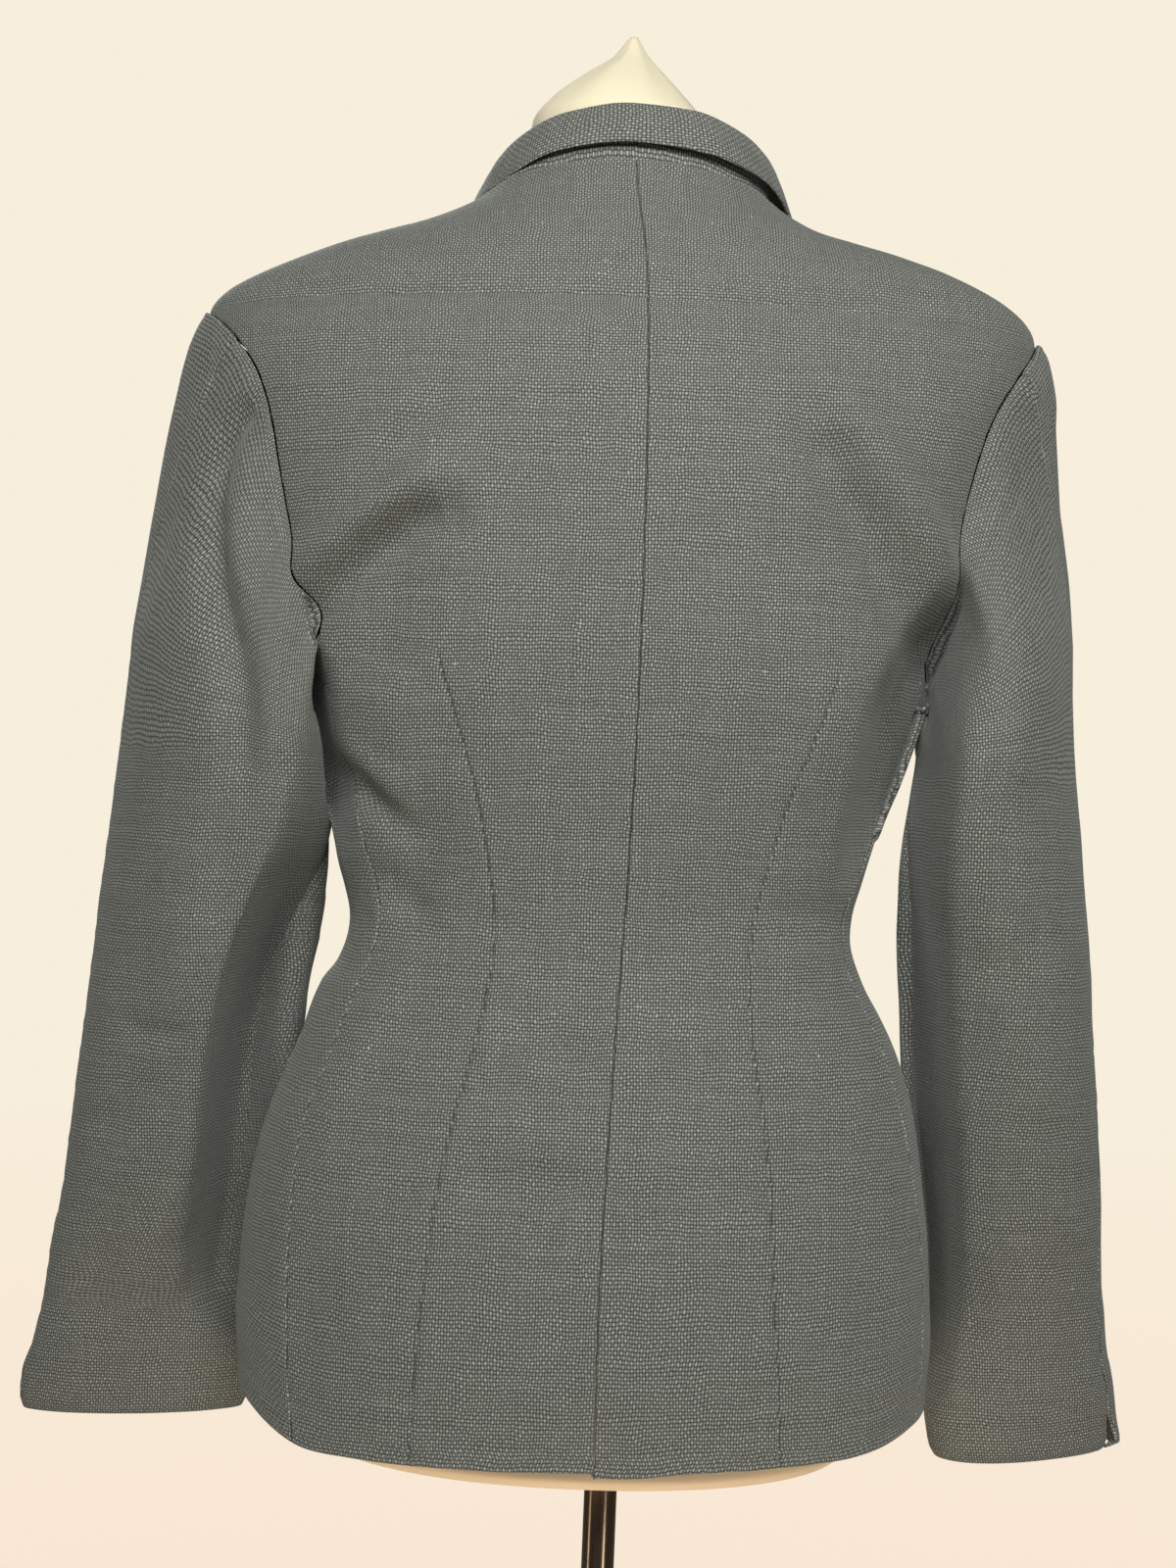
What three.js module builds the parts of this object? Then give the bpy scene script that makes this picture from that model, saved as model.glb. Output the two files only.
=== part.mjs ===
// A fitted tailored jacket, worn by a limbless dress form on a pole stand.
// Millimetres, +Z up. The jacket's front faces -Y, its back +Y, its left sleeve +X.
// The origin is on the floor, in the middle of the stand's round base.
import * as THREE from 'three';
import { mergeVertices } from 'three/addons/utils/BufferGeometryUtils.js';

// Driving dimensions
const CLOTH = 2;                 // wall of the suiting and what backs it
const SEAM_GAP = 0.3;            // between neighbouring pieces at a seam
const ARMHOLE_GAP = 0.5;         // sleeve head to armhole edge, measured sideways
const HEM_HEIGHT = 700;          // hem above the floor
const JUNCTION_HEIGHT = 1123;    // where the side panel meets the armhole
const UNDERARM_DIP = 25;         // how far the armhole dips below that
const SHOULDER_TIP = 1305;       // height of the shoulder seam's outer end
const NECK_BACK = 1387;          // height of the neck seam at the centre back
const NECK_DROP = 9;             // how much lower the neck seam is at the shoulder seam
const BREAK_HEIGHT = 1120;       // where the lapel starts to roll, at the top button
const FRONT_OVERLAP = 20;        // each front passes the centre line by this much
const HEM_ROUND = 40;            // radius of the front's lower corner
const BUTTON_RADIUS = 10;
const BUTTON_THICK = 4;
const BUTTON_HEIGHTS = [1106, 1018, 930];
const POLE_RADIUS = 9.2;
const POLE_OFFSET = -14;         // the form hangs this far to the left of its pole
const BASE_RADIUS = 165;
const BASE_THICK = 14;
const FORM_BOTTOM = 685;

const CLOTH_COLOUR = 0x34362f;
const FORM_COLOUR = 0xf4ead0;
const CHROME_COLOUR = 0x9a938c;
const BASE_COLOUR = 0xcfcac2;
const BUTTON_COLOUR = 0x1d1e1c;

// Turns rows of numbers into objects with named columns.
function table(columns, rows) {
  return rows.map((row) => Object.fromEntries(columns.map((name, i) => [name, row[i]])));
}

// A smooth curve through one column of a table, with no overshoot between its rows.
function curve(rows, key, column) {
  const x = rows.map((row) => row[key]);
  const y = rows.map((row) => row[column]);
  const last = x.length - 1;
  const slope = x.slice(1).map((value, i) => (y[i + 1] - y[i]) / (value - x[i]));
  const tangent = x.map((_, i) => {
    if (i === 0) return slope[0];
    if (i === last) return slope[last - 1];
    if (slope[i - 1] * slope[i] <= 0) return 0;
    return 2 / (1 / slope[i - 1] + 1 / slope[i]);
  });
  return (at) => {
    const value = Math.min(Math.max(at, x[0]), x[last]);
    let i = 0;
    while (i < last - 1 && value > x[i + 1]) i += 1;
    const h = x[i + 1] - x[i];
    const t = (value - x[i]) / h;
    const rise = y[i + 1] - y[i];
    const a = h * tangent[i] - rise;
    const b = rise - h * tangent[i + 1];
    return y[i] + rise * t + t * (1 - t) * (a * (1 - t) + b * t);
  };
}

const mix = (a, b, t) => a + (b - a) * t;
const clamp01 = (t) => Math.min(Math.max(t, 0), 1);
const ease = (t) => clamp01(t) * clamp01(t) * (3 - 2 * clamp01(t));

// The worn body of the jacket: level sections from the hem to the neck seam. Above the shoulder
// tip the sections shrink along the shoulder slope.
const BODY = table(['z', 'halfWidth', 'back', 'front', 'square'], [
  [700, 191, 119, 116, 2.3],
  [740, 194, 118, 118, 2.3],
  [800, 191, 113, 118, 2.3],
  [850, 183, 104, 114, 2.25],
  [900, 166, 90, 108, 2.2],
  [940, 149, 78, 104, 2.15],
  [975, 140, 72, 104, 2.15],
  [1010, 145, 76, 110, 2.2],
  [1060, 164, 86, 124, 2.3],
  [1105, 181, 94, 132, 2.35],
  [1150, 191, 98, 134, 2.4],
  [1200, 200, 99, 128, 2.4],
  [1250, 213, 96, 114, 2.3],
  [1275, 224, 91, 101, 2.1],
  [1294, 231, 86, 91, 1.94],
  [1305, 234, 82, 84, 1.85],
  [1319, 222, 77, 75, 1.84],
  [1336, 189, 72, 67, 1.86],
  [1354, 136, 66, 62, 1.92],
  [1367, 97, 61, 60, 1.98],
  [1379, 79, 56, 59, 2.0],
  [1390, 67, 53, 58, 2.0],
]);

// The dress form inside it, from its flat underside to the tip of its neck cap. The neck
// leans a little, by x.
const FORM = table(['z', 'halfWidth', 'back', 'front', 'square', 'x'], [
  [685, 148, 98, 94, 2.2, 0],
  [692, 156, 104, 100, 2.2, 0],
  [760, 172, 104, 104, 2.2, 0],
  [820, 172, 99, 104, 2.2, 0],
  [870, 160, 88, 101, 2.2, 0],
  [920, 140, 73, 94, 2.15, 0],
  [975, 126, 61, 91, 2.15, 0],
  [1020, 133, 66, 98, 2.2, 0],
  [1060, 145, 74, 109, 2.2, 0],
  [1110, 158, 84, 120, 2.3, 0],
  [1150, 166, 88, 122, 2.3, 0],
  [1200, 174, 89, 114, 2.3, 0],
  [1250, 181, 86, 98, 2.2, 0],
  [1284, 187, 79, 80, 2.0, 0],
  [1308, 187, 73, 69, 1.9, 0],
  [1321, 173, 69, 62, 1.86, 0],
  [1337, 149, 64, 56, 1.86, 0],
  [1354.4, 118, 58, 53, 1.9, 0],
  [1371.8, 80, 51, 50, 1.98, 1],
  [1386, 58, 44, 44, 2.0, 3],
  [1405, 51, 42, 41, 2.0, 5],
  [1420, 49, 41, 40, 2.0, 6],
  [1431, 41, 35, 34, 2.0, 6],
  [1446, 25, 22, 21, 2.0, 4],
  [1458, 11, 11, 10, 2.0, 1],
  [1470, 2.5, 2.5, 2.5, 2.0, 0],
]);

function sections(rows) {
  const halfWidth = curve(rows, 'z', 'halfWidth');
  const back = curve(rows, 'z', 'back');
  const front = curve(rows, 'z', 'front');
  const square = curve(rows, 'z', 'square');
  return (z) => ({ a: halfWidth(z), back: back(z), front: front(z), n: square(z) });
}
const bodySection = sections(BODY);
const formSection = sections(FORM);

// A point of a section: the angle runs from the centre back, positive to the left sleeve.
function sectionPoint(section, angle, z) {
  const s = Math.sin(angle);
  const c = Math.cos(angle);
  const k = (Math.abs(s) ** section.n + Math.abs(c) ** section.n) ** (-1 / section.n);
  const depth = c > 0 ? section.back : section.front;
  return new THREE.Vector3(section.a * k * s, depth * k * c, z);
}

const bodyPoint = (angle, z) => sectionPoint(bodySection(z), angle, z);

// The outward normal of a surface given by an angle and a height.
function normalOf(surface, angle, z) {
  const da = 0.01;
  const dz = 1.5;
  const along = surface(angle + da, z).sub(surface(angle - da, z));
  const up = surface(angle, z + dz).sub(surface(angle, z - dz));
  return up.cross(along).normalize();
}

// The largest folds of the worn cloth. Each runs through three points, given by distance to
// the left of the centre plane and height, and lifts or sinks the back by its depth.
const FOLDS = table(['x0', 'z0', 'x1', 'z1', 'x2', 'z2', 'depth', 'width'], [
  [82, 1197, 118, 1187, 163, 1141, -5, 13],
  [84, 1216, 120, 1205, 166, 1162, 3.5, 13],
  [92, 1256, 108, 1224, 148, 1184, -1.5, 9],
  [112, 1100, 120, 1085, 132, 1066, 4.5, 30],
  [150, 1062, 130, 1042, 110, 1026, -4, 12],
  [-106, 1236, -130, 1207, -163, 1156, -4, 15],
  [-114, 1256, -142, 1224, -178, 1170, 3, 13],
  [-118, 1120, -128, 1100, -134, 1080, 3, 28],
  [-168, 1090, -168, 1070, -166, 1052, 7, 20],
  [104, 944, 126, 905, 145, 862, 1.5, 12],
  [60, 846, 20, 852, -40, 850, 2, 26],
]);
const FOLD_STEPS = 10;
const FOLD_FADE = 40;            // the back's folds die out this far round the side

function foldPath(fold) {
  const points = [];
  for (let i = 0; i <= FOLD_STEPS; i += 1) {
    const t = i / FOLD_STEPS;
    const w0 = (1 - t) * (1 - t);
    const w1 = 2 * t * (1 - t);
    const w2 = t * t;
    const x = w0 * fold.x0 + w1 * fold.x1 + w2 * fold.x2;
    const z = w0 * fold.z0 + w1 * fold.z1 + w2 * fold.z2;
    points.push([x, z]);
  }
  return points;
}
const FOLD_PATHS = FOLDS.map(foldPath);

function distanceToPath(path, x, z) {
  let nearest = Infinity;
  for (let i = 1; i < path.length; i += 1) {
    const [ax, az] = path[i - 1];
    const [bx, bz] = path[i];
    const t = clamp01(((x - ax) * (bx - ax) + (z - az) * (bz - az)) / ((bx - ax) ** 2 + (bz - az) ** 2));
    nearest = Math.min(nearest, Math.hypot(x - mix(ax, bx, t), z - mix(az, bz, t)));
  }
  return nearest;
}

function foldHeight(point) {
  if (point.y < -FOLD_FADE) return 0;
  const fade = ease(1 + point.y / FOLD_FADE);
  let height = 0;
  FOLDS.forEach((fold, i) => {
    const distance = distanceToPath(FOLD_PATHS[i], point.x, point.z);
    height += fade * fold.depth * Math.exp(-((distance / fold.width) ** 2));
  });
  return height;
}

// The outer face of the body with its folds.
function bodySurface(angle, z) {
  const point = bodyPoint(angle, z);
  const height = foldHeight(point);
  if (Math.abs(height) < 0.001) return point;
  return point.addScaledVector(normalOf(bodyPoint, angle, z), height);
}

// Angle of the point that lies x to the left of the centre plane, on the back or the front.
function backAngle(x, z) {
  const { a, n } = bodySection(z);
  const s = Math.min(Math.abs(x) / a, 1);
  return Math.sign(x) * Math.atan2(s, (1 - s ** n) ** (1 / n));
}
const frontAngle = (x, z) => Math.PI - backAngle(x, z);

// Seams of the back, measured across the worn jacket. The cloth has crept a little to the
// right over the form, so left and right have columns of their own.
const CENTRE_BACK = curve(table(['z', 'x'], [
  [700, -8], [776, -7], [900, -10], [1000, -14], [1100, -15.5],
  [1190, -15], [1253, -14], [1335, -11], [1390, -6],
]), 'z', 'x');
const BACK_DART = curve(table(['z', 'fromCentre'], [
  [700, 95], [750, 93], [798, 90], [837, 86.5], [871, 81.5], [903, 75], [930, 70.5],
  [956, 68.5], [976, 69.5], [1005, 74.5], [1037, 81.5], [1068, 91], [1097, 100.5], [1117, 107],
]), 'z', 'fromCentre');
const SIDE_BACK = table(['z', 'left', 'right'], [
  [700, 150, 182], [750, 156, 184], [800, 158, 182], [850, 156, 174], [900, 141, 158],
  [975, 120, 134], [1060, 143, 160], [1123, 159, 178],
]);
const ARMHOLE_BACK = table(['z', 'left', 'right'], [
  [1123, 159, 178], [1165, 170, 183], [1190, 176, 187], [1216, 182, 192], [1242, 188, 199],
  [1264, 196, 208], [1283, 209, 219.5], [1295, 220, 227], [1302, 229, 231], [1305, 234, 234],
]);
const SIDE_FRONT = curve(table(['z', 'x'], [
  [700, 168], [800, 168], [850, 160], [900, 146], [975, 126], [1060, 150], [1123, 166],
]), 'z', 'x');
const ARMHOLE_FRONT = curve(table(['z', 'x'], [
  [1123, 166], [1165, 167], [1200, 171], [1242, 181], [1270, 195], [1290, 213],
  [1300, 227], [1305, 234],
]), 'z', 'x');
const FRONT_DART = curve(table(['z', 'x'], [
  [700, 96], [800, 94], [870, 86], [960, 76], [1030, 84], [1095, 96],
]), 'z', 'x');

// Rows of the grids: below the junction, up the armhole, then over the shoulder slope, the
// last as shares of the way from the shoulder tip to the neck seam.
const LOW_ROWS = [
  700, 708, 732, 766, 800, 835, 868, 900, 928, 955, 980, 1005, 1030, 1055, 1080, 1102, 1123,
];
const ARMHOLE_ROWS = [
  1138, 1152, 1166, 1180, 1194, 1208, 1223, 1239, 1255, 1270, 1284, 1295, 1302, 1305,
];
const SLOPE_SHARES = [0.15, 0.36, 0.6, 0.82, 1];
const JUNCTION_ROW = LOW_ROWS.length - 1;
const TIP_ROW = JUNCTION_ROW + ARMHOLE_ROWS.length;
const ROW_COUNT = TIP_ROW + SLOPE_SHARES.length;

const neckHeight = (angle) => NECK_BACK - NECK_DROP * Math.sin(Math.min(Math.abs(angle), Math.PI / 2)) ** 2;

function rowHeight(row, angle) {
  if (row <= JUNCTION_ROW) return LOW_ROWS[row];
  if (row <= TIP_ROW) return ARMHOLE_ROWS[row - JUNCTION_ROW - 1];
  return mix(SHOULDER_TIP, neckHeight(angle), SLOPE_SHARES[row - TIP_ROW - 1]);
}

// Makes one closed wall of cloth from a sheet of four-sided cells. Every free edge of the
// sheet, the lips of a slit too, gets a narrow side face between the outer and inner points,
// parted along the same diagonal on both sides of a seam.
function wallGeometry(outer, inner, cells) {
  const count = outer.length;
  const faces = [];
  const edges = new Set();
  for (const [a, b, c, d] of cells) {
    faces.push([a, b, c], [a, c, d]);
    faces.push([c + count, b + count, a + count], [d + count, c + count, a + count]);
    for (const [from, to] of [[a, b], [b, c], [c, d], [d, a]]) edges.add(`${from},${to}`);
  }
  for (const edge of edges) {
    const [from, to] = edge.split(',').map(Number);
    if (!edges.has(`${to},${from}`)) {
      if (to < from) faces.push([to, from, from + count], [to, from + count, to + count]);
      else faces.push([to, from, to + count], [from, from + count, to + count]);
    }
  }
  return solidGeometry([...outer, ...inner], faces);
}

// A closed solid from points and triangles, turned so that its faces look outward.
function solidGeometry(points, faces) {
  let volume = 0;
  for (const [a, b, c] of faces) {
    volume += points[a].dot(new THREE.Vector3().crossVectors(points[b], points[c]));
  }
  const ordered = volume < 0 ? faces.map(([a, b, c]) => [a, c, b]) : faces;
  const geometry = new THREE.BufferGeometry();
  const values = points.flatMap((p) => [p.x, p.y, p.z]);
  geometry.setAttribute('position', new THREE.Float32BufferAttribute(values, 3));
  geometry.setIndex(ordered.flat());
  geometry.computeVertexNormals();
  return geometry;
}

const jacket = new THREE.Group();
const stand = new THREE.Group();
const materialOf = (color, roughness, metalness) =>
  new THREE.MeshStandardMaterial({ color, roughness, metalness });

function addCloth(name, geometry) {
  const mesh = new THREE.Mesh(geometry, materialOf(CLOTH_COLOUR, 0.9, 0));
  mesh.name = name;
  jacket.add(mesh);
}

// Moves an angle so that the point slides sideways by a distance on the surface.
function slide(angle, z, distance) {
  const step = 0.01;
  const speed = bodySurface(angle + step, z).distanceTo(bodySurface(angle - step, z)) / (2 * step);
  return angle + distance / speed;
}

// A body panel: place(row, column) gives angle and height, columns run away from the centre
// line on the side that sign names, trims say which side edges draw back from a seam, and a
// slit parts one column from the hem up to its top row.
function bodyPanel(name, { rows, columns, sign, place, slit, trimFirst, trimLast, lift }) {
  const outer = [];
  const inner = [];
  const index = new Map();
  const surface = (angle, z) => {
    const point = bodySurface(angle, z);
    const height = lift ? lift(point) : 0;
    return height ? point.addScaledVector(normalOf(bodyPoint, angle, z), height) : point;
  };
  const vertex = (row, column, lip) => {
    const key = `${row},${column},${lip}`;
    if (index.has(key)) return index.get(key);
    const { angle, z } = place(row, column);
    let shift = lip * SEAM_GAP / 2;
    if (column === 0 && trimFirst(row)) shift += SEAM_GAP / 2;
    if (column === columns && trimLast(row)) shift -= SEAM_GAP / 2;
    const seamAngle = shift ? slide(angle, z, sign * shift) : angle;
    const point = surface(seamAngle, z);
    outer.push(point);
    inner.push(point.clone().addScaledVector(normalOf(surface, seamAngle, z), -CLOTH));
    index.set(key, outer.length - 1);
    return outer.length - 1;
  };
  const cells = [];
  for (let row = 0; row < rows; row += 1) {
    for (let column = 0; column < columns; column += 1) {
      const corner = (r, c) => {
        const onSlit = slit && c === slit.column && r < slit.row;
        return vertex(r, c, onSlit ? (column < slit.column ? -1 : 1) : 0);
      };
      cells.push([
        corner(row, column), corner(row, column + 1),
        corner(row + 1, column + 1), corner(row + 1, column),
      ]);
    }
  }
  addCloth(name, wallGeometry(outer, inner, cells));
}

const always = () => true;

// Back panels: centre back seam to side seam, armhole and shoulder seam, with the long dart
// that starts in mid back and runs out through the hem.
const BACK_COLUMNS = 12;
const BACK_DART_COLUMN = 6;
const BACK_DART_ROW = JUNCTION_ROW;
const backEdges = {
  1: { side: curve(SIDE_BACK, 'z', 'left'), armhole: curve(ARMHOLE_BACK, 'z', 'left') },
  '-1': { side: curve(SIDE_BACK, 'z', 'right'), armhole: curve(ARMHOLE_BACK, 'z', 'right') },
};

function backEdgeAngle(row, sign) {
  const z = rowHeight(row, 0);
  if (row <= JUNCTION_ROW) return backAngle(sign * backEdges[sign].side(z), z);
  if (row < TIP_ROW) return backAngle(sign * backEdges[sign].armhole(z), z);
  return sign * Math.PI / 2;
}

function backPlace(sign) {
  const dartTop = LOW_ROWS[BACK_DART_ROW];
  return (row, column) => {
    const level = rowHeight(row, 0);
    const first = backAngle(CENTRE_BACK(level), level);
    const last = backEdgeAngle(row, sign);
    const dartX = CENTRE_BACK(level) + sign * BACK_DART(level);
    const even = mix(first, last, BACK_DART_COLUMN / BACK_COLUMNS);
    const middle = mix(backAngle(dartX, level), even, ease((level - dartTop) / 150));
    const angle = column <= BACK_DART_COLUMN
      ? mix(first, middle, column / BACK_DART_COLUMN)
      : mix(middle, last, (column - BACK_DART_COLUMN) / (BACK_COLUMNS - BACK_DART_COLUMN));
    return { angle, z: rowHeight(row, angle) };
  };
}

const onSeam = (row) => row <= JUNCTION_ROW || row >= TIP_ROW;
for (const [side, sign] of [['left', 1], ['right', -1]]) {
  bodyPanel(`back_${side}`, {
    rows: ROW_COUNT,
    columns: BACK_COLUMNS,
    sign,
    place: backPlace(sign),
    slit: { column: BACK_DART_COLUMN, row: BACK_DART_ROW },
    trimFirst: always,
    trimLast: onSeam,
  });
}

// Side panels: from the side back seam to the side front seam, dipping under the arm.
const SIDE_COLUMNS = 6;

function sideTopDrop(column) {
  const t = Math.abs(2 * column / SIDE_COLUMNS - 1);
  return UNDERARM_DIP * (1 - t ** 2.2);
}

function sidePlace(sign) {
  return (row, column) => {
    const level = LOW_ROWS[row];
    const share = column / SIDE_COLUMNS;
    const frontSeam = sign * frontAngle(SIDE_FRONT(level), level);
    const angle = mix(backEdgeAngle(row, sign), frontSeam, share);
    return { angle, z: level - sideTopDrop(column) * ease((level - 1000) / (JUNCTION_HEIGHT - 1000)) };
  };
}

for (const [side, sign] of [['left', 1], ['right', -1]]) {
  bodyPanel(`side_${side}`, {
    rows: JUNCTION_ROW,
    columns: SIDE_COLUMNS,
    sign,
    place: sidePlace(sign),
    trimFirst: always,
    trimLast: always,
  });
}

// Fronts: from the front edge and the lapel's roll line out to the side front seam, the
// armhole and the shoulder seam. The right front closes over the left one.
const FRONT_COLUMNS = 9;
const FRONT_SHARES = [0, 0.08, 0.2, 0.36, 0.52];
const FRONT_DART_COLUMN = 5;
const FRONT_DART_ROW = 15;
const ROLL_TOP_X = 62;
const ROLL_TOP_Z = NECK_BACK - NECK_DROP;

const rollLine = (z) => mix(-FRONT_OVERLAP, ROLL_TOP_X, clamp01((z - BREAK_HEIGHT) / (ROLL_TOP_Z - BREAK_HEIGHT)));

function frontEdgeAngle(row) {
  const z = rowHeight(row, Math.PI / 2);
  if (row <= JUNCTION_ROW) return frontAngle(SIDE_FRONT(z), z);
  if (row < TIP_ROW) return frontAngle(ARMHOLE_FRONT(z), z);
  return Math.PI / 2;
}

function frontPlace(sign) {
  const dartTop = LOW_ROWS[FRONT_DART_ROW];
  return (row, column) => {
    const level = rowHeight(row, Math.PI / 2);
    const first = frontAngle(rollLine(level), level);
    const last = frontEdgeAngle(row);
    const even = mix(first, last, 0.66);
    const middle = mix(frontAngle(FRONT_DART(level), level), even, ease((level - dartTop) / 150));
    const angle = column < FRONT_DART_COLUMN
      ? mix(first, middle, FRONT_SHARES[column] / 0.66)
      : mix(middle, last, (column - FRONT_DART_COLUMN) / (FRONT_COLUMNS - FRONT_DART_COLUMN));
    const inset = Math.abs(rollLine(level) - bodyPoint(angle, level).x);
    const round = inset < HEM_ROUND
      ? HEM_ROUND - Math.sqrt(HEM_ROUND ** 2 - (HEM_ROUND - inset) ** 2)
      : 0;
    const rise = round * (1 - ease((level - HEM_HEIGHT) / 130));
    return { angle: sign * angle, z: level + rise };
  };
}

const OVERLAP_LIFT = CLOTH + 2 * SEAM_GAP;
function rightLift(point) {
  if (point.y > 0) return 0;
  return OVERLAP_LIFT * ease((point.x + 74) / 30);
}

for (const [side, sign] of [['left', 1], ['right', -1]]) {
  bodyPanel(`front_${side}`, {
    rows: ROW_COUNT,
    columns: FRONT_COLUMNS,
    sign: -sign,
    place: frontPlace(sign),
    slit: { column: FRONT_DART_COLUMN, row: FRONT_DART_ROW },
    trimFirst: () => false,
    trimLast: onSeam,
    lift: sign < 0 ? rightLift : undefined,
  });
}

// Lapels: the fronts folded back along the roll line, lying on the front just clear of it.
const LAPEL_COLUMNS = 6;
const LAPEL_ROWS = 9;
const LAPEL = {
  rollTop: 1350, tipX: 116, tipZ: 1304, overhang: 1.6, clear: 0.8, roll: 2.2, belly: 9,
};

function lapel(name, sign, bottom, lift) {
  const surface = (angle, z) => {
    const point = bodySurface(angle, z);
    return point.addScaledVector(normalOf(bodyPoint, angle, z), lift ? lift(point) : 0);
  };
  const outer = [];
  const inner = [];
  const cells = [];
  const startX = rollLine(bottom);
  for (let row = 0; row <= LAPEL_ROWS; row += 1) {
    const t = row / LAPEL_ROWS;
    const rollZ = mix(bottom, LAPEL.rollTop, t);
    const edgeX = mix(startX + 3, LAPEL.tipX, t) + LAPEL.belly * Math.sin(Math.PI * t);
    const edgeZ = mix(bottom + 3, LAPEL.tipZ, t);
    for (let column = 0; column <= LAPEL_COLUMNS; column += 1) {
      const s = column / LAPEL_COLUMNS;
      const z = mix(rollZ, edgeZ, s);
      const x = mix(rollLine(rollZ) - LAPEL.overhang, edgeX, s);
      const angle = sign * frontAngle(x, z);
      const height = LAPEL.clear + LAPEL.roll * (1 - s) ** 2;
      const base = surface(angle, z);
      const normal = normalOf(surface, angle, z);
      inner.push(base.clone().addScaledVector(normal, height));
      outer.push(base.clone().addScaledVector(normal, height + CLOTH));
      if (row < LAPEL_ROWS && column < LAPEL_COLUMNS) {
        const corner = row * (LAPEL_COLUMNS + 1) + column;
        const above = corner + LAPEL_COLUMNS + 1;
        cells.push([corner, corner + 1, above + 1, above]);
      }
    }
  }
  addCloth(name, wallGeometry(outer, inner, cells));
}
lapel('lapel_right', -1, BREAK_HEIGHT + 4, rightLift);
lapel('lapel_left', 1, 1206);

// Sleeves: from the armhole's own points, over the sleeve head, down to the cuff. Level
// rings give the arm: inner and outer reach from the centre plane, middle and half depth, and
// the angle by which the back of the ring turns in towards the body.
const SLEEVE_COLUMNS = ['z', 'inner', 'outer', 'y', 'halfDepth', 'turn', 'seam'];
const SLEEVES = {
  1: table(SLEEVE_COLUMNS, [
    [670, 197, 329, -57, 19, 0, 9],
    [700, 194, 325, -52, 22, 0, 9],
    [735, 190, 317, -46, 26, 2, 8],
    [780, 185, 309, -38, 32, 4, 8],
    [830, 178, 302, -30, 38, 6, 8],
    [880, 169, 297.5, -22, 43, 9, 9],
    [930, 160, 292.5, -15, 48, 14, 10],
    [976, 154, 289.5, -9, 53, 20, 12],
    [1020, 151, 285.5, -4, 58, 27, 14],
    [1060, 155, 282, 0, 63, 33, 15],
  ]),
  '-1': table(SLEEVE_COLUMNS, [
    [666, 210, 318, -58, 29, 0, 30],
    [700, 203, 314, -52, 32, 0, 30],
    [735, 199, 307, -46, 35, 0, 29],
    [780, 195, 302, -38, 39, 0, 27],
    [830, 188, 297, -30, 44, 0, 24],
    [880, 181, 291, -22, 49, 2, 20],
    [930, 178, 285, -15, 54, 4, 15],
    [976, 175, 281.5, -9, 59, 7, 9],
    [1020, 174, 276, -4, 64, 12, 4],
    [1060, 177, 270.5, 0, 68, 18, 2],
  ]),
};
const CUFF_TILT = { 1: -0.04, '-1': 0.12 };   // rise of the cuff edge per mm outward
const HEAD_BULGE = { 1: 0.06, '-1': 0.14 };   // how far the sleeve head stands out
const HEAD_FALL = 0.022;         // how straight the head falls into the arm
const HEAD_ROWS = [0, 0.1, 0.22, 0.38, 0.58, 0.8, 1];
const HIND_ROW = JUNCTION_ROW + 11;           // armhole rows where the sleeve seams start
const FORE_ROW = JUNCTION_ROW + 1;
const TIP_TURN = -6;                          // the shoulder tip's own line down the arm
const FORE_TURN = 238;
const BODY_CLEARANCE = 1.8;                   // sleeve to the body it hangs against

function armholeLoop(sign) {
  const backRow = (row) => {
    const angle = backEdgeAngle(row, sign);
    return bodySurface(angle, rowHeight(row, angle));
  };
  const frontRow = (row) => {
    const angle = sign * frontEdgeAngle(row);
    return bodySurface(angle, rowHeight(row, angle));
  };
  const sideTop = (column) => {
    const { angle, z } = sidePlace(sign)(JUNCTION_ROW, column);
    return bodySurface(angle, z);
  };
  const upper = [];
  const under = [];
  for (let row = HIND_ROW; row <= TIP_ROW; row += 1) upper.push(backRow(row));
  for (let row = TIP_ROW - 1; row >= FORE_ROW; row -= 1) upper.push(frontRow(row));
  for (let row = FORE_ROW; row >= JUNCTION_ROW; row -= 1) under.push(frontRow(row));
  for (let column = SIDE_COLUMNS - 1; column >= 1; column -= 1) under.push(sideTop(column));
  for (let row = JUNCTION_ROW; row <= HIND_ROW; row += 1) under.push(backRow(row));
  return { upper, under };
}

// The body's half width at a depth and height, which the hanging sleeve stays clear of.
function bodyReach(y, z) {
  const { a, back, front, n } = bodySection(z);
  const share = Math.abs(y) / (y > 0 ? back : front);
  return share < 1 ? a * (1 - share ** n) ** (1 / n) : 0;
}

function clearOfBody(point, sign) {
  const reach = bodyReach(point.y, point.z) + Math.max(foldHeight(point), 0) + BODY_CLEARANCE;
  if (reach > BODY_CLEARANCE + 60 && sign * point.x < reach) point.x = sign * reach;
  return point;
}

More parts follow.
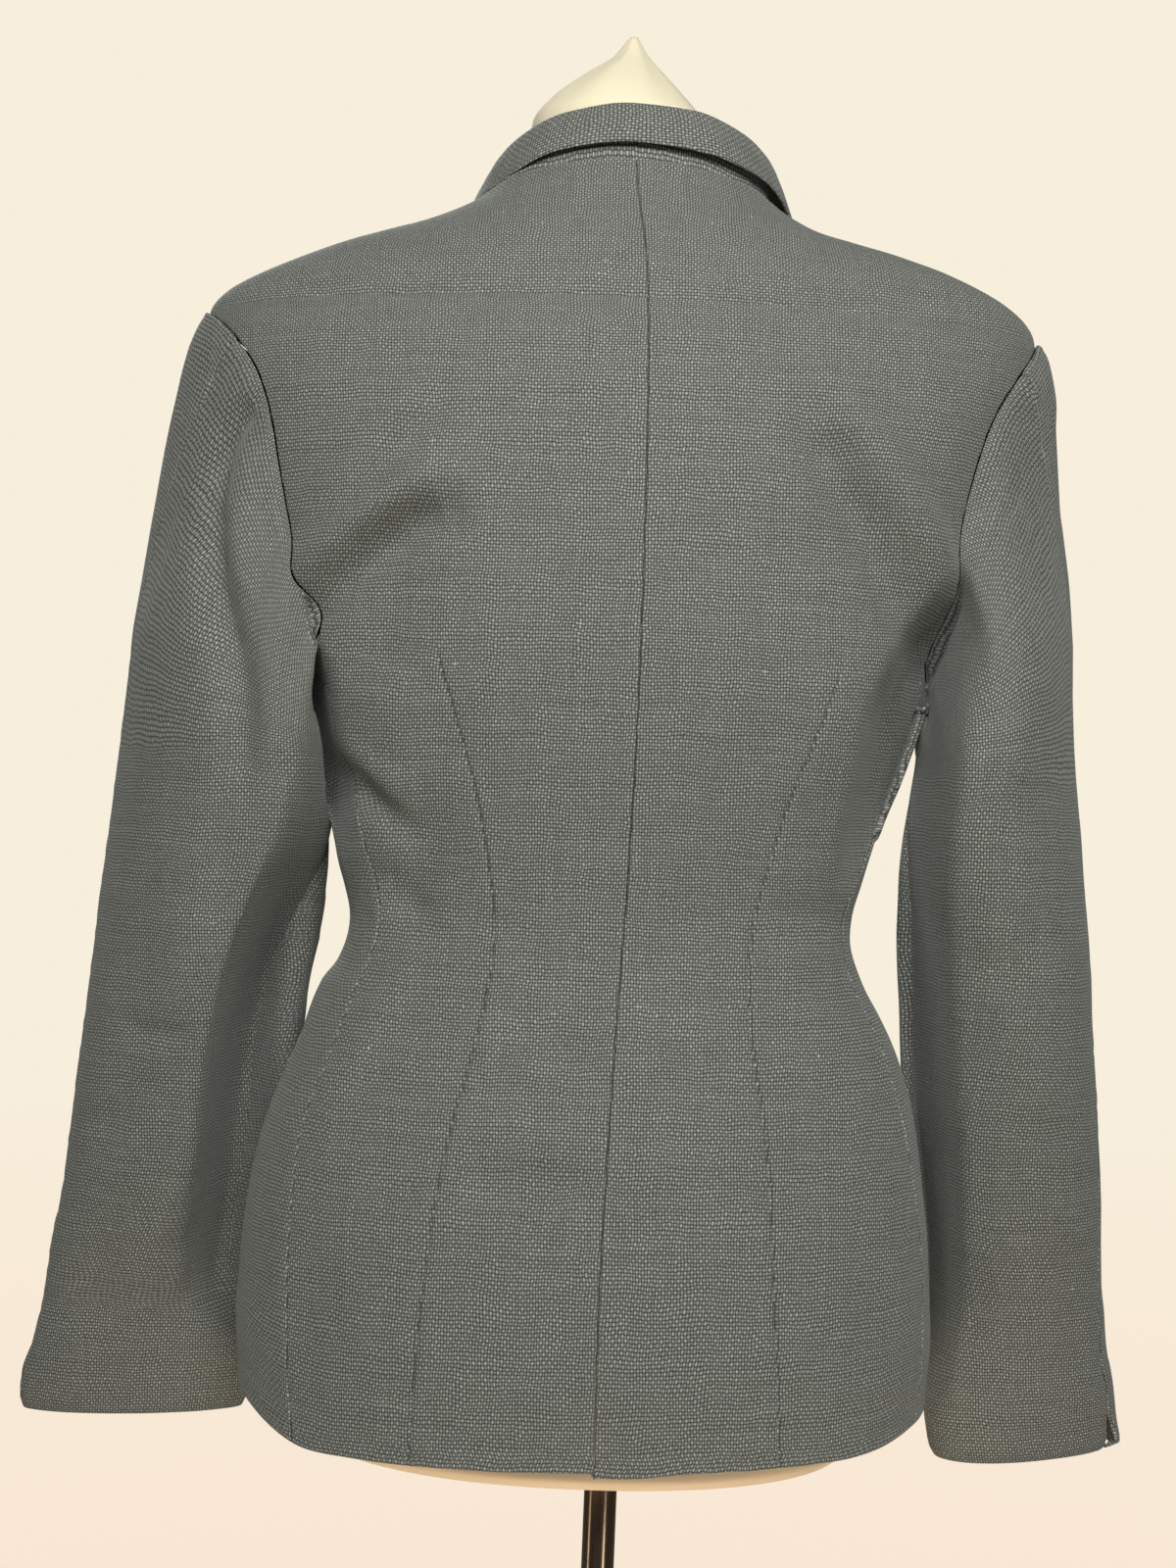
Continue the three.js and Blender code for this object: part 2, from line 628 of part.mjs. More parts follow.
function sleeveGrid(sign) {
  const { upper, under } = armholeLoop(sign);
  const rings = SLEEVES[sign];
  const row = Object.fromEntries(SLEEVE_COLUMNS.slice(1).map((name) => [name, curve(rings, 'z', name)]));
  const armPoint = (turn, z) => {
    const angle = THREE.MathUtils.degToRad(turn);
    const lag = THREE.MathUtils.degToRad(row.turn(z));
    const half = (row.outer(z) - row.inner(z)) / 2;
    const middle = (row.outer(z) + row.inner(z)) / 2;
    const x = middle + half * Math.cos(angle);
    const y = row.y(z) + row.halfDepth(z) * Math.sin(angle - lag);
    const nearCuff = 1 - ease((z - rings[0].z) / 90);
    const height = z + CUFF_TILT[sign] * (x - middle) * nearCuff;
    return clearOfBody(new THREE.Vector3(sign * x, y, height), sign);
  };
  const last = upper.length - 1;
  const tip = TIP_ROW - HIND_ROW;
  const turnAt = (i, z) => {
    if (i <= tip) return mix(row.seam(z), TIP_TURN, i / tip);
    if (i <= last) return mix(TIP_TURN, FORE_TURN - 360, (i - tip) / (last - tip));
    return mix(FORE_TURN, row.seam(z), (i - last) / (under.length - 1));
  };
  const loop = [...upper, ...under.slice(1, -1)];
  const armTop = rings[rings.length - 1].z;
  const head = HEAD_ROWS.map((t) => loop.map((start, i) => {
    const from = start.clone().add(new THREE.Vector3(sign * ARMHOLE_GAP, 0, 0));
    const to = armPoint(turnAt(i, armTop), armTop);
    const reach = from.distanceTo(to);
    const leave = from.clone().add(new THREE.Vector3(sign * reach * HEAD_BULGE[sign], 0, 0));
    const below = armPoint(turnAt(i, armTop), armTop - 20);
    const arrive = to.clone().add(below.sub(to).multiplyScalar(-reach * HEAD_FALL));
    const bezier = new THREE.CubicBezierCurve3(from, leave, arrive, to);
    return t === 0 ? from : clearOfBody(bezier.getPoint(t), sign);
  }));
  const arm = rings.slice(0, -1).reverse().map(({ z }) => loop.map((_, i) => armPoint(turnAt(i, z), z)));
  return { grid: [...head, ...arm], upperCount: upper.length };
}

// Two pieces of one sleeve: the wide top piece and the narrow under piece, parted along the
// fore and hind seams. The hind seam opens at the cuff as a short vent.
const ARMHOLE_SHARES = [1, 0.4];  // how far the first rows' wall turns with the armhole
const VENT_ROWS = 1;
const VENT_OPEN = 3;

function sleeve(side, sign) {
  const { grid, upperCount } = sleeveGrid(sign);
  const around = grid[0].length;
  const at = (r, c) => grid[Math.min(Math.max(r, 0), grid.length - 1)][(c + around) % around];
  const middle = grid[0].reduce((sum, p) => sum.add(p), new THREE.Vector3()).divideScalar(around);
  const inward = grid.map((ring, r) => ring.map((_, c) => {
    const across = at(r, c + 1).clone().sub(at(r, c - 1));
    const down = at(r + 1, c).clone().sub(at(r - 1, c));
    const normal = down.cross(across).normalize().multiplyScalar(sign);
    const start = middle.clone().sub(ring[c]).setX(0).normalize();
    return normal.lerp(start, ARMHOLE_SHARES[r] || 0).normalize().multiplyScalar(CLOTH);
  }));
  const piece = (name, first, count, isUpper) => {
    const outer = [];
    const inner = [];
    const cells = [];
    grid.forEach((ring, r) => {
      for (let i = 0; i <= count; i += 1) {
        const c = (first + i) % around;
        const point = ring[c].clone();
        const along = at(r, c + 1).clone().sub(at(r, c - 1)).normalize();
        if (i === 0) point.addScaledVector(along, SEAM_GAP / 2);
        if (i === count) point.addScaledVector(along, -SEAM_GAP / 2);
        const atVent = r >= grid.length - VENT_ROWS && isUpper && i === 0;
        if (atVent) point.addScaledVector(along, VENT_OPEN);
        outer.push(point);
        inner.push(point.clone().add(inward[r][c]));
        if (r < grid.length - 1 && i < count) {
          const corner = r * (count + 1) + i;
          cells.push([corner, corner + 1, corner + count + 2, corner + count + 1]);
        }
      }
    });
    addCloth(name, wallGeometry(outer, inner, cells));
  };
  piece(`sleeve_${side}_top`, 0, upperCount - 1, true);
  piece(`sleeve_${side}_under`, upperCount - 1, around - upperCount + 1, false);
}
sleeve('left', 1);
sleeve('right', -1);

// Collar stand: a band that rises from the neck seam, highest at the centre back.
const STAND_COLUMNS = 24;
const STAND_END = frontAngle(ROLL_TOP_X, ROLL_TOP_Z);
const STAND_HEIGHT = 21;
const STAND_SIDE_HEIGHT = 10;
const STAND_END_HEIGHT = 4;
const STAND_LEAN = 3;

function collarStand() {
  const outer = [];
  const inner = [];
  const cells = [];
  const rows = 2;
  for (let row = 0; row <= rows; row += 1) {
    for (let column = 0; column <= STAND_COLUMNS; column += 1) {
      const angle = mix(-STAND_END, STAND_END, column / STAND_COLUMNS);
      const z = neckHeight(angle);
      const share = Math.sin(Math.min(Math.abs(angle), Math.PI / 2)) ** 2;
      const front = ease((Math.abs(angle) - Math.PI / 2) / (STAND_END - Math.PI / 2));
      const full = mix(mix(STAND_HEIGHT, STAND_SIDE_HEIGHT, share), STAND_END_HEIGHT, front);
      const height = full * row / rows;
      const base = bodyPoint(angle, z);
      const out = new THREE.Vector3(base.x / 79 ** 2, base.y / 56 ** 2, 0).normalize();
      const point = base.addScaledVector(out, -STAND_LEAN * height / STAND_HEIGHT);
      point.z += SEAM_GAP + 0.2 + height;
      outer.push(point);
      inner.push(point.clone().addScaledVector(out, -CLOTH));
      if (row < rows && column < STAND_COLUMNS) {
        const corner = row * (STAND_COLUMNS + 1) + column;
        cells.push([corner, corner + 1, corner + STAND_COLUMNS + 2, corner + STAND_COLUMNS + 1]);
      }
    }
  }
  addCloth('collar_stand', wallGeometry(outer, inner, cells));
}
collarStand();

// Collar fall: rolls over the top of the stand and down to the leaf edge. One row for each
// station from the centre back to the front end, the same on both sides.
const FALL = table(
  ['station', 'foldX', 'foldY', 'foldZ', 'rise', 'leafX', 'leafY', 'leafZ'],
  [
    [0, 0, 49, 1409.4, 9, 0, 68, 1394],
    [0.22, 33, 43, 1407, 9, 41, 59, 1391],
    [0.42, 58, 26, 1400, 9.5, 70, 35, 1384],
    [0.58, 73, 3, 1390, 10.5, 87, 5, 1377],
    [0.74, 72, -20, 1388, 9, 99, -28, 1366],
    [0.88, 63, -46, 1376, 5, 102, -52, 1352],
    [1, 53, -66, 1358, 2, 92, -69, 1338],
  ],
);
const FALL_STATIONS = 14;
const FALL_STEPS = [0, 0.12, 0.26, 0.42, 0.6, 0.8, 1];

function collarFall() {
  const row = Object.fromEntries(Object.keys(FALL[0]).slice(1).map((name) => [name, curve(FALL, 'station', name)]));
  const section = (station) => {
    const u = Math.abs(station);
    const sign = Math.sign(station) || 1;
    const fold = new THREE.Vector3(sign * row.foldX(u), row.foldY(u), row.foldZ(u));
    const leaf = new THREE.Vector3(sign * row.leafX(u), row.leafY(u), row.leafZ(u));
    const rise = new THREE.Vector3(0, 0, row.rise(u));
    const over = new THREE.Vector3(leaf.x - fold.x, leaf.y - fold.y, 0).multiplyScalar(0.62);
    return new THREE.CubicBezierCurve3(
      fold, fold.clone().add(rise), fold.clone().add(rise).add(over), leaf,
    );
  };
  const stations = [];
  for (let i = -FALL_STATIONS; i <= FALL_STATIONS; i += 1) stations.push(i / FALL_STATIONS);
  const grid = stations.map((station) => FALL_STEPS.map((t) => section(station).getPoint(t)));
  const at = (i, j) => grid[Math.min(Math.max(i, 0), grid.length - 1)][Math.min(Math.max(j, 0), FALL_STEPS.length - 1)];
  const outer = [];
  const inner = [];
  const cells = [];
  grid.forEach((points, i) => points.forEach((point, j) => {
    const along = at(i + 1, j).clone().sub(at(i - 1, j));
    const down = at(i, j + 1).clone().sub(at(i, j - 1));
    const outward = along.cross(down).normalize();
    outer.push(point.clone());
    inner.push(point.clone().addScaledVector(outward, -CLOTH));
    if (i < grid.length - 1 && j < FALL_STEPS.length - 1) {
      const corner = i * FALL_STEPS.length + j;
      cells.push([corner, corner + 1, corner + FALL_STEPS.length + 1, corner + FALL_STEPS.length]);
    }
  }));
  addCloth('collar_fall', wallGeometry(outer, inner, cells));
}
collarFall();

// Buttons on the centre front, each a turned disc with a raised rim.
const BUTTON_PROFILE = [
  [0, 0], [BUTTON_RADIUS - 2, 0], [BUTTON_RADIUS, 1.4], [BUTTON_RADIUS, 2.8],
  [BUTTON_RADIUS - 1.4, BUTTON_THICK], [BUTTON_RADIUS - 3.2, BUTTON_THICK - 1.2], [0, BUTTON_THICK - 1.2],
];
const BUTTON_SIDES = 14;

BUTTON_HEIGHTS.forEach((z, i) => {
  const points = BUTTON_PROFILE.map(([r, h]) => new THREE.Vector2(r, h));
  const turned = new THREE.LatheGeometry(points, BUTTON_SIDES);
  turned.deleteAttribute('uv');
  turned.deleteAttribute('normal');
  const mesh = new THREE.Mesh(mergeVertices(turned, 0.001), materialOf(BUTTON_COLOUR, 0.35, 0));
  mesh.name = `button_${i + 1}`;
  const angle = Math.PI;
  const normal = normalOf(bodyPoint, angle, z);
  const face = bodyPoint(angle, z).addScaledVector(normal, OVERLAP_LIFT + SEAM_GAP + 0.5);
  mesh.position.copy(face);
  mesh.quaternion.setFromUnitVectors(new THREE.Vector3(0, 1, 0), normal);
  jacket.add(mesh);
});

// The dress form: a smooth limbless torso with a soft pointed cap over its neck.
const FORM_SIDES = 28;

function dressForm() {
  const points = [];
  const faces = [];
  FORM.forEach(({ z, x }) => {
    for (let i = 0; i < FORM_SIDES; i += 1) {
      const point = sectionPoint(formSection(z), (2 * Math.PI * i) / FORM_SIDES, z);
      point.x += x;
      points.push(point);
    }
  });
  const ring = (r, i) => r * FORM_SIDES + (i % FORM_SIDES);
  for (let r = 0; r < FORM.length - 1; r += 1) {
    for (let i = 0; i < FORM_SIDES; i += 1) {
      faces.push([ring(r, i), ring(r + 1, i), ring(r + 1, i + 1)]);
      faces.push([ring(r, i), ring(r + 1, i + 1), ring(r, i + 1)]);
    }
  }
  for (const [r, z] of [[0, FORM[0].z], [FORM.length - 1, FORM[FORM.length - 1].z]]) {
    points.push(new THREE.Vector3(0, 0, z));
    const centre = points.length - 1;
    for (let i = 0; i < FORM_SIDES; i += 1) {
      faces.push(r === 0 ? [centre, ring(r, i), ring(r, i + 1)] : [centre, ring(r, i + 1), ring(r, i)]);
    }
  }
  const mesh = new THREE.Mesh(solidGeometry(points, faces), materialOf(FORM_COLOUR, 0.95, 0));
  mesh.name = 'form_torso';
  stand.add(mesh);
}
dressForm();

// The stand: a plain pole on a weighted round base.
const POLE_SIDES = 24;
const pole = new THREE.Mesh(
  new THREE.CylinderGeometry(POLE_RADIUS, POLE_RADIUS, FORM_BOTTOM - BASE_THICK - 2 * SEAM_GAP, POLE_SIDES),
  materialOf(CHROME_COLOUR, 0.15, 1),
);
pole.name = 'stand_pole';
pole.rotation.x = Math.PI / 2;
pole.position.set(0, 0, (FORM_BOTTOM + BASE_THICK) / 2);
stand.add(pole);

const BASE_PROFILE = [
  [0, 0], [BASE_RADIUS - 2, 0], [BASE_RADIUS, 2], [BASE_RADIUS, 5],
  [BASE_RADIUS - 3, 8], [BASE_RADIUS - 30, BASE_THICK - 1], [BASE_RADIUS - 60, BASE_THICK], [0, BASE_THICK],
];
const BASE_SIDES = 32;
const basePoints = BASE_PROFILE.map(([r, h]) => new THREE.Vector2(r, h));
const baseTurned = new THREE.LatheGeometry(basePoints, BASE_SIDES);
baseTurned.deleteAttribute('uv');
baseTurned.deleteAttribute('normal');
const base = new THREE.Mesh(mergeVertices(baseTurned, 0.001), materialOf(BASE_COLOUR, 0.4, 0.6));
base.name = 'stand_base';
base.rotation.x = Math.PI / 2;
stand.add(base);

// The jacket and its form sit a little to the left of the pole.
jacket.position.x = -POLE_OFFSET;
stand.getObjectByName('form_torso').position.x = -POLE_OFFSET;

const whole = new THREE.Group();
whole.add(jacket, stand);
export default whole;
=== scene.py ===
# %% [markdown]
# # A tailored jacket on its dress form
#
# A jacket is flat woollen cloth that cutting, sewing and pressing have turned into a body.
# Each panel is rebuilt here as a thin shell with a fine grid of points, so that the cloth
# can roll over its edges, sink into its seams and hang in soft folds. The woven look comes
# from shader maths on two numbers that each point carries: how far it lies across and along
# the cloth.
# %% Load the frame
import math

import bpy
import numpy as np
from mathutils import Euler, Matrix


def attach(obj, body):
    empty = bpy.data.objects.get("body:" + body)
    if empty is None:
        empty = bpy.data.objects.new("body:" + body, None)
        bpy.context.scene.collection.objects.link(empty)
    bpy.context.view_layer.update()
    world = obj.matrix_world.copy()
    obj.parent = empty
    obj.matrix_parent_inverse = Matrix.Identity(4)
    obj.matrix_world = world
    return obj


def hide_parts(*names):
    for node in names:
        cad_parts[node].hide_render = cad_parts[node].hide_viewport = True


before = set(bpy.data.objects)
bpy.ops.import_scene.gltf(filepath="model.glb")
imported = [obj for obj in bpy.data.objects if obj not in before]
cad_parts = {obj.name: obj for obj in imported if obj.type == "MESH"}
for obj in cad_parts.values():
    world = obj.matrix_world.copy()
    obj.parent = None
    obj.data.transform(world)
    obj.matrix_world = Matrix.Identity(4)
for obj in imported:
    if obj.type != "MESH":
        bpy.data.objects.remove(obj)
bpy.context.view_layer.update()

MM = 0.001

# %% [markdown]
# ## Camera, floor and light
#
# The jacket is seen from behind, level with its waist, by a camera about a metre away that
# leans a little. The studio is cream and bright: the floor fades into the same cream, so no
# horizon shows. A broad soft light hangs above the camera, so that the cloth darkens down the
# back. Two narrow ones draw the streaks on the pole, a small warm one lights the form's
# underside, and the last lights the front.
# %% Camera
STUDIO_CREAM = (0.93, 0.862, 0.716)
PHOTO_HEIGHT = 1600
FOCAL_PIXELS = 2081
CAMERA_PLACE = (0.023, 1.150, 1.049)
CAMERA_LEAN = math.radians(2.3)

scene = bpy.context.scene
scene.view_settings.view_transform = "Standard"
camera_data = bpy.data.cameras.new("studio_camera")
camera_data.sensor_width = 36
camera_data.lens = 36 * FOCAL_PIXELS / PHOTO_HEIGHT
camera_data.clip_start = 0.05
camera = bpy.data.objects.new("studio_camera", camera_data)
scene.collection.objects.link(camera)
level = Euler((math.pi / 2, 0, math.pi)).to_matrix().to_4x4()
lean = Matrix.Rotation(CAMERA_LEAN, 4, "Z")
camera.matrix_world = Matrix.Translation(CAMERA_PLACE) @ level @ lean
scene.camera = camera
print("camera lens", round(camera_data.lens, 2))

# %% [markdown]
# Shader maths reads best as plain expressions. `Wire` holds one socket and lets it be added,
# multiplied or compared, and `Finish` is a material whose only other tool is `node`: it makes
# any node from its type, its settings and what goes into its sockets.
# %% Wires and finishes
class Wire:
    def __init__(self, tree, socket):
        self.tree = tree
        self.socket = socket

    def math(self, operation, first, second=None):
        node = self.tree.nodes.new("ShaderNodeMath")
        node.operation = operation
        for slot, value in zip(node.inputs, (first, second)):
            feed(self.tree, slot, value)
        return Wire(self.tree, node.outputs[0])

    def __add__(self, other):
        return self.math("ADD", self, other)

    def __radd__(self, other):
        return self.math("ADD", other, self)

    def __sub__(self, other):
        return self.math("SUBTRACT", self, other)

    def __rsub__(self, other):
        return self.math("SUBTRACT", other, self)

    def __mul__(self, other):
        return self.math("MULTIPLY", self, other)

    def __rmul__(self, other):
        return self.math("MULTIPLY", other, self)

    def __truediv__(self, other):
        return self.math("DIVIDE", self, other)

    def __pow__(self, other):
        return self.math("POWER", self, other)

    def __gt__(self, other):
        return self.math("GREATER_THAN", self, other)

    def __abs__(self):
        return self.math("ABSOLUTE", self)

    def sine(self):
        return self.math("SINE", self)

    def floor(self):
        return self.math("FLOOR", self)

    def clamped(self):
        return self.math("MINIMUM", self.math("MAXIMUM", self, 0.0), 1.0)


def feed(tree, slot, value):
    if value is None:
        return
    if isinstance(value, Wire):
        tree.links.new(value.socket, slot)
    elif hasattr(value, "__len__") and len(value) == 3 and slot.type == "RGBA":
        slot.default_value = (*value, 1.0)
    else:
        slot.default_value = value


class Finish:
    def __init__(self, name):
        self.material = bpy.data.materials.new(name)
        self.material.use_nodes = True
        self.tree = self.material.node_tree
        self.surface = self.tree.nodes["Principled BSDF"]

    def node(self, kind, settings=None, sockets=None, output=0):
        made = self.tree.nodes.new("ShaderNode" + kind)
        for key, value in (settings or {}).items():
            if key == "stops":
                for place, colour in value[len(made.color_ramp.elements):]:
                    made.color_ramp.elements.new(place)
                for element, (place, colour) in zip(made.color_ramp.elements, value):
                    element.position = place
                    element.color = (*colour, 1.0)
            else:
                setattr(made, key, value)
        for key, value in (sockets or {}).items():
            feed(self.tree, made.inputs[key], value)
        return Wire(self.tree, made.outputs[output])

    def set(self, **sockets):
        for key, value in sockets.items():
            feed(self.tree, self.surface.inputs[key.replace("_", " ")], value)
        return self

    def blend(self, factor, low, high):
        sockets = {0: factor, 6: low, 7: high}
        return self.node("Mix", {"data_type": "RGBA"}, sockets, 2)

    def noise(self, place, scale, detail=2.0, rough=0.5):
        sockets = {"Vector": place, "Scale": scale, "Detail": detail, "Roughness": rough}
        return self.node("TexNoise", None, sockets)

    def bump(self, height, strength, distance):
        sockets = {"Height": height, "Strength": strength, "Distance": distance}
        return self.node("Bump", None, sockets)


print("socket maths ready")

# %% Studio
FLOOR_RADIUS = 14
FLOOR_DROP = 0.0005
STREAK_COLOUR = (1.0, 0.94, 0.84)


def studio_floor():
    finish = Finish("studio_floor")
    place = finish.node("TexCoord", None, None, 3)
    radius = finish.node("VectorMath", {"operation": "LENGTH"}, {0: place}, 1)
    far = ((radius - 0.8) / 0.7).clamped()
    grain = finish.noise(place, 60.0, 3.0)
    stone = finish.blend(grain, (0.60, 0.54, 0.46), (0.64, 0.58, 0.50))
    finish.set(Base_Color=stone, Roughness=0.9)
    seen = finish.node("LightPath", None, None, 0)
    tone = finish.blend(((radius - 1.5) / 4.5).clamped(), (0.94, 0.80, 0.66), STUDIO_CREAM)
    glow = finish.node("Emission", None, {"Color": tone, "Strength": 0.12 + 0.88 * seen})
    output = finish.tree.nodes["Material Output"]
    shader = Wire(finish.tree, finish.surface.outputs[0])
    mixed = finish.node("MixShader", None, {0: far, 1: shader, 2: glow})
    feed(finish.tree, output.inputs[0], mixed)
    bpy.ops.mesh.primitive_circle_add(
        vertices=96, radius=FLOOR_RADIUS, fill_type="TRIFAN", location=(0, 0, -FLOOR_DROP))
    floor = bpy.context.object
    floor.name = "studio_floor"
    floor.data.materials.append(finish.material)


def soft_light(name, place, aim, size, watts, colour):
    data = bpy.data.lights.new(name, "AREA")
    data.shape = "RECTANGLE"
    data.size, data.size_y = size
    data.energy = watts
    data.color = colour
    lamp = bpy.data.objects.new(name, data)
    lamp.location = place
    towards = Matrix.Translation(aim).translation - lamp.location
    lamp.rotation_euler = towards.to_track_quat("-Z", "Y").to_euler()
    scene.collection.objects.link(lamp)


def studio_air():
    world = bpy.data.worlds.new("studio_air")
    world.use_nodes = True
    tree = world.node_tree
    seen = tree.nodes["Background"]
    seen.inputs[0].default_value = (*STUDIO_CREAM, 1.0)
    seen.inputs[1].default_value = 1.0
    dim = tree.nodes.new("ShaderNodeBackground")
    dim.inputs[0].default_value = (0.92, 0.93, 0.92, 1.0)
    dim.inputs[1].default_value = 0.05
    path = tree.nodes.new("ShaderNodeLightPath")
    mixed = tree.nodes.new("ShaderNodeMixShader")
    tree.links.new(path.outputs["Is Camera Ray"], mixed.inputs[0])
    tree.links.new(dim.outputs[0], mixed.inputs[1])
    tree.links.new(seen.outputs[0], mixed.inputs[2])
    tree.links.new(mixed.outputs[0], tree.nodes["World Output"].inputs[0])
    scene.world = world


studio_floor()
studio_air()
soft_light("key_light", (-0.05, 1.45, 1.85), (0, 0, 1.2), (1.1, 0.6), 32, (1.0, 0.998, 0.985))
soft_light("strip_light", (-0.62, 0.85, 0.42), (0, 0, 0.42), (0.12, 0.8), 1.6, STREAK_COLOUR)
soft_light("thin_light", (1.0, 0.35, 0.42), (0, 0, 0.42), (0.08, 0.8), 0.7, STREAK_COLOUR)
soft_light("low_light", (0, 0.15, 0.47), (0, 0.06, 0.69), (0.36, 0.08), 0.34, (1.0, 0.80, 0.54))
soft_light("front_light", (0.6, -1.9, 2.1), (0, 0, 1.1), (1.4, 1.2), 34, (1.0, 0.99, 0.97))
print("studio lit")

# %% [markdown]
# ## The worn body
#
# A tailor thinks of the body as level sections: at each height, how wide, how deep to the
# back and how deep to the front. Here each section is a rounded oblong, and smooth curves
# through a short table give every height in between. All sizes are in millimetres and are
# turned into metres when a mesh is made.
# %% Curves and sections
def curve(points):
    x, y = np.array(points, float).T
    gap = np.diff(x)
    slope = np.diff(y) / gap
    tangent = np.concatenate([slope[:1], np.zeros(len(x) - 2), slope[-1:]])
    same = slope[:-1] * slope[1:] > 0
    inner = np.zeros(len(x) - 2)
    inner[same] = 2 / (1 / slope[:-1][same] + 1 / slope[1:][same])
    tangent[1:-1] = inner

    def at(value):
        value = np.clip(value, x[0], x[-1])
        i = np.clip(np.searchsorted(x, value) - 1, 0, len(gap) - 1)
        t = (value - x[i]) / gap[i]
        rise = y[i + 1] - y[i]
        a = gap[i] * tangent[i] - rise
        b = rise - gap[i] * tangent[i + 1]
        return y[i] + rise * t + t * (1 - t) * (a * (1 - t) + b * t)

    return at


def softened(at, low, high, spread):
    """The same curve with its corners rounded over a few millimetres."""
    x = np.arange(low - 30, high + 30.5, 1.0)
    reach = int(3.4 * spread)
    weight = np.exp(-0.5 * (np.arange(-reach, reach + 1) / spread) ** 2)
    before, after = x[0] - np.arange(reach, 0, -1), x[-1] + np.arange(1, reach + 1)
    padded = at(np.concatenate([before, x, after]))
    y = np.convolve(padded, weight / weight.sum(), "valid")
    return lambda value: np.interp(value, x, y)


def columns(names, rows, spread=0):
    table = {}
    for i, name in enumerate(names):
        at = curve([(row[0], row[i + 1]) for row in rows])
        table[name] = softened(at, rows[0][0], rows[-1][0], spread) if spread else at
    return table


def mix(a, b, t):
    return a + (b - a) * t


def ease(t):
    t = np.clip(t, 0, 1)
    return t * t * (3 - 2 * t)


BODY = columns(("half_width", "back", "front", "square"), [
    (700, 191, 119, 116, 2.3), (740, 194, 118, 118, 2.3), (800, 191, 113, 118, 2.3),
    (850, 183, 104, 114, 2.25), (900, 166, 90, 108, 2.2), (940, 149, 78, 104, 2.15),
    (975, 140, 72, 104, 2.15), (1010, 145, 76, 110, 2.2), (1060, 164, 86, 124, 2.3),
    (1105, 181, 94, 132, 2.35), (1150, 191, 98, 134, 2.4), (1200, 200, 99, 128, 2.4),
    (1250, 213, 96, 114, 2.3), (1275, 224, 91, 101, 2.1), (1294, 231, 86, 91, 1.94),
    (1305, 234, 82, 84, 1.85), (1319, 222, 77, 75, 1.84), (1336, 189, 72, 67, 1.86),
    (1354, 136, 66, 62, 1.92), (1367, 97, 61, 60, 1.98), (1379, 79, 56, 59, 2.0),
    (1390, 67, 53, 58, 2.0),
], 7)
BACK_SHARP = BODY["back"]
BACK_SMOOTH = softened(BACK_SHARP, 700, 1390, 26)


def smooth_waist(z):
    """The depth of the back, with the cloth bridging the hollow of the waist."""
    return mix(BACK_SHARP(z), BACK_SMOOTH(z), ease((1130 - z) / 90) * ease((z - 790) / 60))


BODY["back"] = smooth_waist


def section_point(table, angle, z):
    n = table["square"](z)
    s, c = np.sin(angle), np.cos(angle)
    k = (np.abs(s) ** n + np.abs(c) ** n) ** (-1 / n)
    depth = np.where(c > 0, table["back"](z), table["front"](z))
    return np.stack([table["half_width"](z) * k * s, depth * k * c, z + 0 * angle], -1)


def unit(vectors):
    return vectors / np.maximum(np.linalg.norm(vectors, axis=-1, keepdims=True), 1e-9)


def body_normal(angle, z):
    along = section_point(BODY, angle + 0.01, z) - section_point(BODY, angle - 0.01, z)
    up = section_point(BODY, angle, z + 1.5) - section_point(BODY, angle, z - 1.5)
    return unit(np.cross(up, along))


print("waist is", round(2 * float(BODY["half_width"](975))), "mm wide")

